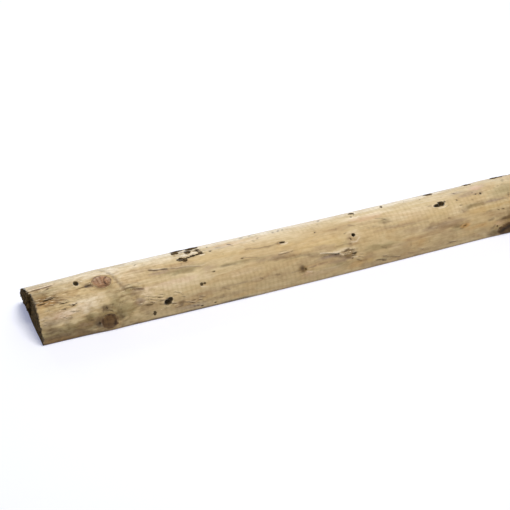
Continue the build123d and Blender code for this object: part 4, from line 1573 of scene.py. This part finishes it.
late_share = times(tree, rings["Latewood"], 0.30)
year_share = ease(tree, rings["Year"], 0, 1, 0.0, 0.15)
fine_share = ease(tree, fibre["Fine"], 0.35, 0.65, 0.0, 0.2)
broad_share = ease(tree, fibre["Broad"], 0.44, 0.60, 0.0, 0.34)
broad_share = times(tree, broad_share, ease(tree, weathered_share, 0.3, 1.0, 0.5, 1.0))
light_share = ease(tree, fibre["Patchy"], 0.52, 0.60, 0.0, 0.30)
uneven = ease(tree, weathered_share, 0.0, 1.0, 0.3, 1.0)
blotch = times(tree, ease(tree, fibre["Mottle"], 0.54, 0.34, 0.0, 0.5), uneven)
bloom = times(tree, ease(tree, fibre["Mottle"], 0.52, 0.68, 0.0, 0.30), uneven)
bar_share = ease(tree, chatter["Height"], -0.4, 1.0, 0.0, 0.28)
bar_share = times(tree, bar_share, ease(tree, weathered_share, 0.3, 0.8, 1.0, 0.2))

colour = point_value(tree, "stain", "Color")
for share, glaze in (
    (late_share, (0.80, 0.64, 0.44)),
    (year_share, (0.84, 0.77, 0.64)),
    (fine_share, (0.66, 0.56, 0.42)),
    (broad_share, (0.70, 0.60, 0.44)),
    (light_share, (1.20, 1.28, 1.45)),
    (blotch, (0.56, 0.47, 0.32)),
    (bloom, (1.35, 1.42, 1.65)),
    (bar_share, (0.76, 0.71, 0.62)),
):
    colour = tint(tree, share, colour, glaze)
print("wood before its knots:", len(tree.nodes), "nodes")

# %% [markdown]
# ## The colour of torn fibres
#
# The ridges of torn wood are dry and pale and are lightened further as a painted highlight,
# and the hollows between them are darkened as painted shade and dirt.
# The height of the relief tells one from the other, so the colours always lie on the right
# shapes.

# %% Torn fibres on the peeled wood
torn_amount = point_value(tree, "torn")
ridge = ease(tree, point_value(tree, "torn_height"), 0.05, 0.5)
ridge = times(tree, times(tree, ridge, torn_amount), 0.4)
# the ridges: pale dry fibre, lightened further as a painted highlight
colour = tint(tree, ridge, colour, (1.40, 1.40, 1.45))
# the hollows: painted shade together with dirt
dip = ease(tree, point_value(tree, "torn_height"), -0.15, -0.55)
colour = mingle(tree, times(tree, dip, torn_amount), colour, (0.22, 0.155, 0.07))
print("with torn fibres:", len(tree.nodes), "nodes")

# %% [markdown]
# ## The colour of knots
#
# A knot is a branch cut across: tight rings of red or brown wood, a dark rim that was its
# bark, and a halo of resin. Its number is 0 in the middle and 1 on the rim, so a sine of it
# draws the rings and a narrow band round 1 draws the rim. Noise keeps both from being perfect.

# %% Knots on the peeled wood
SPECKLE = 420.0, 3.0  # scale and detail of the lumps in knots and bark

knot = point_value(tree, "knot_field")
halo = ease(tree, knot, 1.0, 1.7, 0.7, 0.0)
colour = tint(tree, halo, colour, (0.86, 0.78, 0.62))
speckle = lumps(tree, place, *SPECKLE)
wobbly = plus(tree, knot, times(tree, speckle, 0.35))
knot_rings = sums(tree, "SINE", times(tree, wobbly, 26.0))
knot_tone = ease(tree, knot_rings, -1, 1, 0.0, 0.55)
red_knot = mingle(tree, knot_tone, (0.43, 0.235, 0.122), (0.31, 0.158, 0.078))
brown_knot = mingle(tree, knot_tone, (0.185, 0.108, 0.040), (0.100, 0.057, 0.018))
knot_colour = mingle(tree, point_value(tree, "knot_red"), brown_knot, red_knot)
dark_share = times(tree, point_value(tree, "knot_dark"), 0.75)
knot_colour = mingle(tree, dark_share, knot_colour, (0.080, 0.041, 0.009))
knot_blotch = ease(tree, fibre["Mottle"], 0.56, 0.38, 0.0, 0.55)
knot_colour = tint(tree, knot_blotch, knot_colour, (0.50, 0.42, 0.36))
ragged_rim = times(tree, sums(tree, "SUBTRACT", fibre["Mottle"], 0.5), 0.5)
inside_knot = ease(tree, plus(tree, knot, ragged_rim), 0.84, 1.08, 1.0, 0.0)
colour = mingle(tree, inside_knot, colour, knot_colour)
rim_gap = sums(tree, "ABSOLUTE", sums(tree, "SUBTRACT", knot, 1.0))
rim = ease(tree, plus(tree, rim_gap, times(tree, speckle, 0.16)), 0.06, 0.20, 0.75, 0.0)
colour = mingle(tree, rim, colour, (0.13, 0.06, 0.028))
print("with knots:", len(tree.nodes), "nodes")

# %% [markdown]
# ## The colour of bark, specks and pockets
#
# These lie over everything else and are mixed in last: bark in two browns, pale fibres with
# their painted highlights, smudges with painted shade, specks broken up by the fibre, with the
# dark of cracks and sliver gaps painted as shade, and pockets painted almost black inside as
# shade, with a pale lip where fresh wood shows.

# %% Bark, marks and pockets on the peeled wood
bark_amount = point_value(tree, "bark")
bark_tone = ease(tree, speckle, 0.4, 0.65)
bark_colour = mingle(tree, bark_tone, (0.036, 0.023, 0.009), (0.135, 0.083, 0.032))
colour = mingle(tree, bark_amount, colour, bark_colour)
# pale fibres, together with the painted highlights on slivers, lips and fibres that catch the light
colour = mingle(tree, point_value(tree, "pale"), colour, (0.84, 0.72, 0.54))
# smudges of resin and dirt, together with painted shade under slivers and steps and along the floor
smudge_and_shade = times(tree, point_value(tree, "shade"), ease(tree, fibre["Mottle"], 0.3, 0.7, 1.25, 0.75))
colour = tint(tree, smudge_and_shade, colour, (0.22, 0.165, 0.105))
# specks keep their own dark; the dark of cracks and sliver gaps is painted shade
ragged = plus(tree, times(tree, speckle, 0.9), times(tree, fibre["Fine"], 0.9))
ragged = times(tree, point_value(tree, "specks_and_gap_shade"), ragged)
mark = ease(tree, ragged, 0.06, 0.80, 0.0, 0.94)
pocket = point_value(tree, "pocket_field")
pocket_lip = ease(tree, pocket, 1.05, 1.6, 0.2, 0.0)
# painted shade: the inside of a pocket is coloured almost black
pocket_shade = ease(tree, pocket, 0.85, 1.1, 1.0, 0.0)
dirt = ease(tree, point_value(tree, "end_dirt"), 0.15, 0.8, 0.0, 0.92)
for share, cover in (
    (mark, (0.045, 0.028, 0.012)),
    (pocket_lip, (0.76, 0.64, 0.45)),
    (pocket_shade, (0.072, 0.043, 0.010)),
    (dirt, (0.065, 0.042, 0.020)),
):
    colour = mingle(tree, share, colour, cover)
print("with bark and pockets:", len(tree.nodes), "nodes")

# %% [markdown]
# ## Shine and the finest relief
#
# Peeled softwood has a dull shine. Its loose fibres scatter the light that grazes them, as
# velvet does, and a little sheen gives that. Bark and specks shine less. The finest relief is
# only a bump, because fibres thinner than the faces can't be modelled.

# %% Finish the peeled wood
rough = ease(tree, fibre["Broad"], 0.3, 0.7, 0.52, 0.68)
dull = sums(tree, "MAXIMUM", bark_amount, mark)
dull = sums(tree, "MAXIMUM", dull, times(tree, inside_knot, 0.4))
set_shader(tree, shader, {
    "Base Color": colour,
    "Roughness": plus(tree, rough, times(tree, torn_amount, 0.2)),
    "Specular IOR Level": ease(tree, dull, 0.0, 0.6, 0.45, 0.08),
    "Sheen Weight": 0.45,
    "Sheen Roughness": 0.4,
    "Sheen Tint": (0.76, 0.89, 1.0),
})
bark_bump = times(tree, times(tree, speckle, bark_amount), 1.2)
height = times(tree, fibre["Fine"], 0.22)
height = plus(tree, height, times(tree, fibre["Broad"], 0.45))
height = plus(tree, height, times(tree, fibre["Mottle"], 0.5))
height = plus(tree, height, times(tree, chatter["Height"], 0.05))
add_relief(tree, shader, plus(tree, height, bark_bump), 0.001)
print(peeled.name, len(tree.nodes), "nodes")

# %% [markdown]
# ## The sawn face
#
# The face from the band saw shows straight grain, a dark line along the pith and the strokes
# of the blade. It uses the same groups as the peeled side in other shares, so that both look
# like one piece of wood.

# %% Sawn face
RING_SPACING = 2.3  # mm of growth in a year, nearer the pith

sawn, tree, shader = new_material("band_sawn_face")
place = put(tree, "TexCoord").outputs["Object"]
fibre = use_group(tree, fibre_group, Vector=place)
ring_depth_value = point_value(tree, "ring_depth")
rings = use_group(tree, rings_group, Depth=ring_depth_value, Spacing=RING_SPACING)
strokes = use_group(tree, chatter_group, Vector=place, Pitch=SAW_STROKE * mm)
patches = ease(tree, fibre["Patchy"], 0.3, 0.7)
colour = mingle(tree, patches, (0.56, 0.45, 0.27), (0.44, 0.36, 0.20))
for share, glaze in (
    (times(tree, rings["Latewood"], 0.6), (0.68, 0.50, 0.32)),
    (ease(tree, fibre["Fine"], 0.35, 0.65, 0.0, 0.3), (0.66, 0.56, 0.42)),
    (times(tree, strokes["Line"], 0.35), (0.50, 0.42, 0.30)),
):
    colour = tint(tree, share, colour, glaze)
core = ease(tree, ring_depth_value, 2.0, 5.5, 0.55, 0.0)
colour = mingle(tree, core, colour, (0.24, 0.15, 0.07))
set_shader(tree, shader, {"Base Color": colour, "Roughness": 0.8})
height = plus(tree, times(tree, fibre["Fine"], 0.4), strokes["Height"])
add_relief(tree, shader, height, 0.0003, 0.7)
print(sawn.name, len(tree.nodes), "nodes")

# %% [markdown]
# ## The cut ends
#
# End grain drinks water and dirt and goes almost black, with the rings just showing. It is
# rough and doesn't shine. A strong bump from a fine noise stands for the crushed ends of the
# fibres.

# %% Cut ends
end_grain, tree, shader = new_material("cut_end_grain")
place = put(tree, "TexCoord").outputs["Object"]
ring_depth_value = point_value(tree, "ring_depth")
rings = use_group(tree, rings_group, Depth=ring_depth_value, Spacing=RING_SPACING)
grit = lumps(tree, place, 260.0, 4.0)
colour = mingle(tree, ease(tree, grit, 0.35, 0.68), (0.026, 0.016, 0.006), (0.130, 0.083, 0.032))
colour = tint(tree, times(tree, rings["Latewood"], 0.5), colour, (0.42, 0.34, 0.28))
set_shader(tree, shader, {"Base Color": colour, "Roughness": 0.9, "Specular IOR Level": 0.08})
add_relief(tree, shader, grit, 0.0012)
for material in (peeled, sawn, end_grain):
    rail_mesh.materials.append(material)
print(end_grain.name, len(tree.nodes), "nodes")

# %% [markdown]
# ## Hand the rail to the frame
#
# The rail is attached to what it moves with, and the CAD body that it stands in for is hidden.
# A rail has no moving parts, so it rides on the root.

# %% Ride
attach(rail, "root")
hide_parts("half_round_rail")
print(rail.name, "rides on the root")

# %% [markdown]
# ## Splinters and flakes of bark
#
# Relief can't lift a fibre clear of the wood, because each point of the mesh has one height.
# So the last layer is made of small closed pieces: tapered splinters, stuck in at one end and
# lifted a few degrees at the other, and lumpy flakes of bark. A ray that is shot at the rail
# finds the spot and the slope where each of them is planted.

# %% Planting
rail_tree = BVHTree.FromObject(rail, bpy.context.evaluated_depsgraph_get())


def plant(distance, angle):
    """A frame on the round side: X along the grain, Z out of the wood."""
    turn = math.radians(angle)
    outward = Vector((0, -math.cos(turn), math.sin(turn)))
    x = left_cut + distance * mm
    start = Vector((x, np.interp(x, station_x, station_sway), 0)) + 2 * POLE_RADIUS * outward
    place, normal = rail_tree.ray_cast(start, -outward)[:2]
    out = (normal + 2 * outward).normalized()
    across = out.cross(Vector((1, 0, 0))).normalized()
    along = across.cross(out)
    axes = Matrix((along, across, out)).transposed().to_4x4()
    return Matrix.Translation(place) @ axes


def finish_pieces(bm, name, material):
    mesh = bpy.data.meshes.new(name)
    bm.to_mesh(mesh)
    bm.free()
    mesh.materials.append(material)
    piece = add_object(name, mesh)
    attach(piece, "root")
    return piece


def deal_spot(patch, spread):
    """A random spot on an oval patch, as distance and angle. A spread of 1 reaches its rim."""
    turn, reach = dealer.uniform(0, 2 * math.pi), math.sqrt(dealer.uniform(0, spread))
    place_along, place_round, length, width = patch
    spot = place_along + reach * math.cos(turn) * length / 2
    return spot, place_round + reach * math.sin(turn) * width / 2 / DEGREE


print("planted at the first knot:", tuple(round(v, 4) for v in plant(94, 82).translation))

# %% [markdown]
# ## Splinters
#
# A splinter is thick where it is still stuck in the wood and thin at its free end. A cone with
# six sides, pressed flat and laid down, has that shape with only eight faces, which matters
# when there are hundreds. They are dealt out over the torn patches, more of them on the
# rougher ones.

# %% Splinters
ROOM_FOR_A_SPLINTER = 20  # square millimetres of torn wood

splinter_bm = bmesh.new()


def splinter(distance, angle, length, width, lift):
    """One pointed fibre. Its thick end is stuck in the wood."""
    turn = Matrix.Rotation(math.radians(dealer.gauss(0, 5)), 4, "Z")
    tilt = Matrix.Rotation(math.radians(lift), 4, "Y") @ turn
    flat = Matrix.Diagonal((1, width / 2, dealer.uniform(0.2, 0.4), 1))
    upright = Matrix.Rotation(-math.pi / 2, 4, "Y") @ Matrix.Translation((0, 0, length / 2))
    sink = Matrix.Translation((0, 0, -0.25))
    place = plant(distance, angle) @ Matrix.Scale(mm, 4) @ sink @ tilt @ flat @ upright
    bmesh.ops.create_cone(
        splinter_bm, cap_ends=True, segments=6, radius1=1, radius2=0.12, depth=length, matrix=place
    )


for *patch, strength in TEARS:
    for _ in range(round(strength * patch[2] * patch[3] / ROOM_FOR_A_SPLINTER)):
        spot, around = deal_spot(patch, 0.8)
        if 3 < spot < 1790:
            length, width = dealer.uniform(4, 10), dealer.uniform(0.7, 1.6)
            splinter(spot, around, length, width, dealer.uniform(1, 5))
print(len(splinter_bm.faces), "faces of splinters")

# %% [markdown]
# ## Flakes of bark
#
# The scraps of bark are crumbly and stand about half a millimetre proud. Balls that are
# pressed flat, made lumpy with two noises and laid over each other give that look. Raising the
# mesh of the rail alone would give them smooth, sloping sides.

# %% Bark flakes
ROOM_FOR_A_FLAKE = 45  # square millimetres of bark
LARGEST_FLAKE = 8
LUMP_SEED = 3

noise.seed_set(LUMP_SEED)  # without a seed, the noise vectors start from the clock
flake_bm = bmesh.new()
for patch in BARK:
    length, width = patch[2:]
    for _ in range(max(2, round(length * width / ROOM_FOR_A_FLAKE))):
        spot, around = deal_spot(patch, 0.75)
        size = dealer.uniform(0.5, 1) * min(length, width, LARGEST_FLAKE) / 2
        shape = Matrix.Diagonal((dealer.uniform(1.0, 1.7), 1, dealer.uniform(0.3, 0.6) / size, 1))
        place = plant(spot, around) @ Matrix.Scale(size * mm, 4) @ shape
        made = bmesh.ops.create_icosphere(flake_bm, subdivisions=3, radius=1, matrix=place)
        for vert in made["verts"]:
            coarse, crumbly = noise.noise_vector(vert.co * 700), noise.noise_vector(vert.co * 1900)
            vert.co += (coarse * 0.28 + crumbly * 0.18) * mm
print(len(flake_bm.faces), "faces of flakes")

# %% [markdown]
# ## Finishes of the small pieces
#
# Splinters are the same wood, freshly torn, so they are paler and duller than the weathered
# side. The flakes take the two browns of the bark and hardly shine.

# %% Materials of the small pieces
fibre_material, tree, shader = new_material("torn_fibre")
place = put(tree, "TexCoord").outputs["Object"]
mottle = use_group(tree, fibre_group, Vector=place)["Mottle"]
colour = mingle(tree, ease(tree, mottle, 0.35, 0.65), (0.40, 0.29, 0.14), (0.74, 0.60, 0.40))
set_shader(tree, shader, {"Base Color": colour, "Roughness": 0.85, "Specular IOR Level": 0.3})

bark_material, tree, shader = new_material("inner_bark")
place = put(tree, "TexCoord").outputs["Object"]
speckle = lumps(tree, place, *SPECKLE)
colour = mingle(tree, ease(tree, speckle, 0.4, 0.66), (0.030, 0.019, 0.008), (0.130, 0.080, 0.032))
set_shader(tree, shader, {"Base Color": colour, "Roughness": 0.95, "Specular IOR Level": 0.1})
add_relief(tree, shader, speckle, 0.001)

splinters = finish_pieces(splinter_bm, "splinters", fibre_material)
bark_flakes = finish_pieces(flake_bm, "bark_flakes", bark_material)
print(splinters.name, "and", bark_flakes.name, "ride on the root")

# %% [markdown]
# ## The floor
#
# A sheet of white paper shows the rail best. It has to look white right up to the wood and
# still take its shadow, so to the eye it glows a little in a cool white, while the light that
# it throws back onto the wood is plain.

# %% Floor
FLOOR_SIDE = 30  # metres, so that its edges stay out of sight

bpy.ops.mesh.primitive_plane_add(size=FLOOR_SIDE)
floor = bpy.context.object
floor.name = "floor"
floor_material, tree, shader = new_material("white_floor")
rays = put(tree, "LightPath").outputs
seen = sums(tree, "MAXIMUM", rays["Is Camera Ray"], rays["Is Glossy Ray"])
seen = sums(tree, "MAXIMUM", seen, rays["Is Transmission Ray"])
floor_colour = mingle(tree, seen, (0.88, 0.87, 0.86), (0.76, 0.76, 0.76))
set_shader(tree, shader, {
    "Base Color": floor_colour,
    "Roughness": 0.9,
    "Specular IOR Level": 0.2,
    "Emission Color": (0.59, 0.63, 1.0),
    "Emission Strength": times(tree, seen, 0.27),
})
floor.data.materials.append(floor_material)
print(floor.name, "side, m:", floor.dimensions.x)

# %% [markdown]
# ## The light of the room
#
# A faint cool light from all round stands for the walls and the ceiling. Without it the
# shadows would go black, because real rooms always fill them.

# %% World
world = bpy.data.worlds.new("studio")
bpy.context.scene.world = world
world.use_nodes = True
background = next(node for node in world.node_tree.nodes if node.type == "BACKGROUND")
background.inputs["Color"].default_value = (0.88, 0.92, 1.0, 1)
background.inputs["Strength"].default_value = 0.36
print(world.name, "strength:", round(background.inputs["Strength"].default_value, 2))

# %% [markdown]
# ## The lamps
#
# Two soft boxes light the rail: one above its left half, and a wide, cool one behind, which
# makes the crown pale. Large lamps give soft shadows, where a small one would draw every fibre
# hard.

# %% Lamps
LIT_SPOT = Vector((-0.5, 0, 0))


def soft_lamp(name, place, size, watts, colour):
    data = bpy.data.lights.new(name, "AREA")
    data.shape = "RECTANGLE"
    data.size, data.size_y = size
    data.energy = watts
    data.color = colour
    lamp = add_object(name, data)
    lamp.location = place
    lamp.rotation_euler = (LIT_SPOT - Vector(place)).to_track_quat("-Z", "Y").to_euler()
    print(name, watts, "W")


soft_lamp("key_softbox", (-0.42, -0.12, 2.1), (1.0, 1.0), 37, (1.0, 0.968, 0.9))
soft_lamp("back_softbox", (-0.2, 2.4, 0.8), (3.0, 1.4), 34, (0.80, 0.92, 1.0))

# %% [markdown]
# ## The camera
#
# The rail is seen from the front, a little from the left and from well above, and it runs out
# of the picture on the right. A long lens keeps its edges nearly parallel. The camera's place
# is worked out from its angles and its distance, which are easier to read than coordinates.

# %% Camera
CAMERA_AZIMUTH = math.radians(-21.5)
CAMERA_HEIGHT = math.radians(36.4)
CAMERA_DISTANCE = 2.583
LENS = 134.0
SENSOR_WIDTH = 36
aim = Vector((left_cut + 323.7 * mm, 33.4 * mm, 0))
back = Vector((
    math.sin(CAMERA_AZIMUTH) * math.cos(CAMERA_HEIGHT),
    -math.cos(CAMERA_AZIMUTH) * math.cos(CAMERA_HEIGHT),
    math.sin(CAMERA_HEIGHT),
))
camera_data = bpy.data.cameras.new("camera")
camera_data.lens = LENS
camera_data.sensor_width = SENSOR_WIDTH
camera = add_object("camera", camera_data)
camera.location = aim + CAMERA_DISTANCE * back
camera.rotation_euler = back.to_track_quat("Z", "Y").to_euler()
bpy.context.scene.camera = camera
print("camera, m:", tuple(round(v, 2) for v in camera.location))

# %% [markdown]
# ## Colour
#
# The plain view transform shows the colours as they were mixed. A filmic one would turn the
# white paper grey.

# %% Colour
bpy.context.scene.view_settings.view_transform = "Standard"
print("view transform:", bpy.context.scene.view_settings.view_transform)
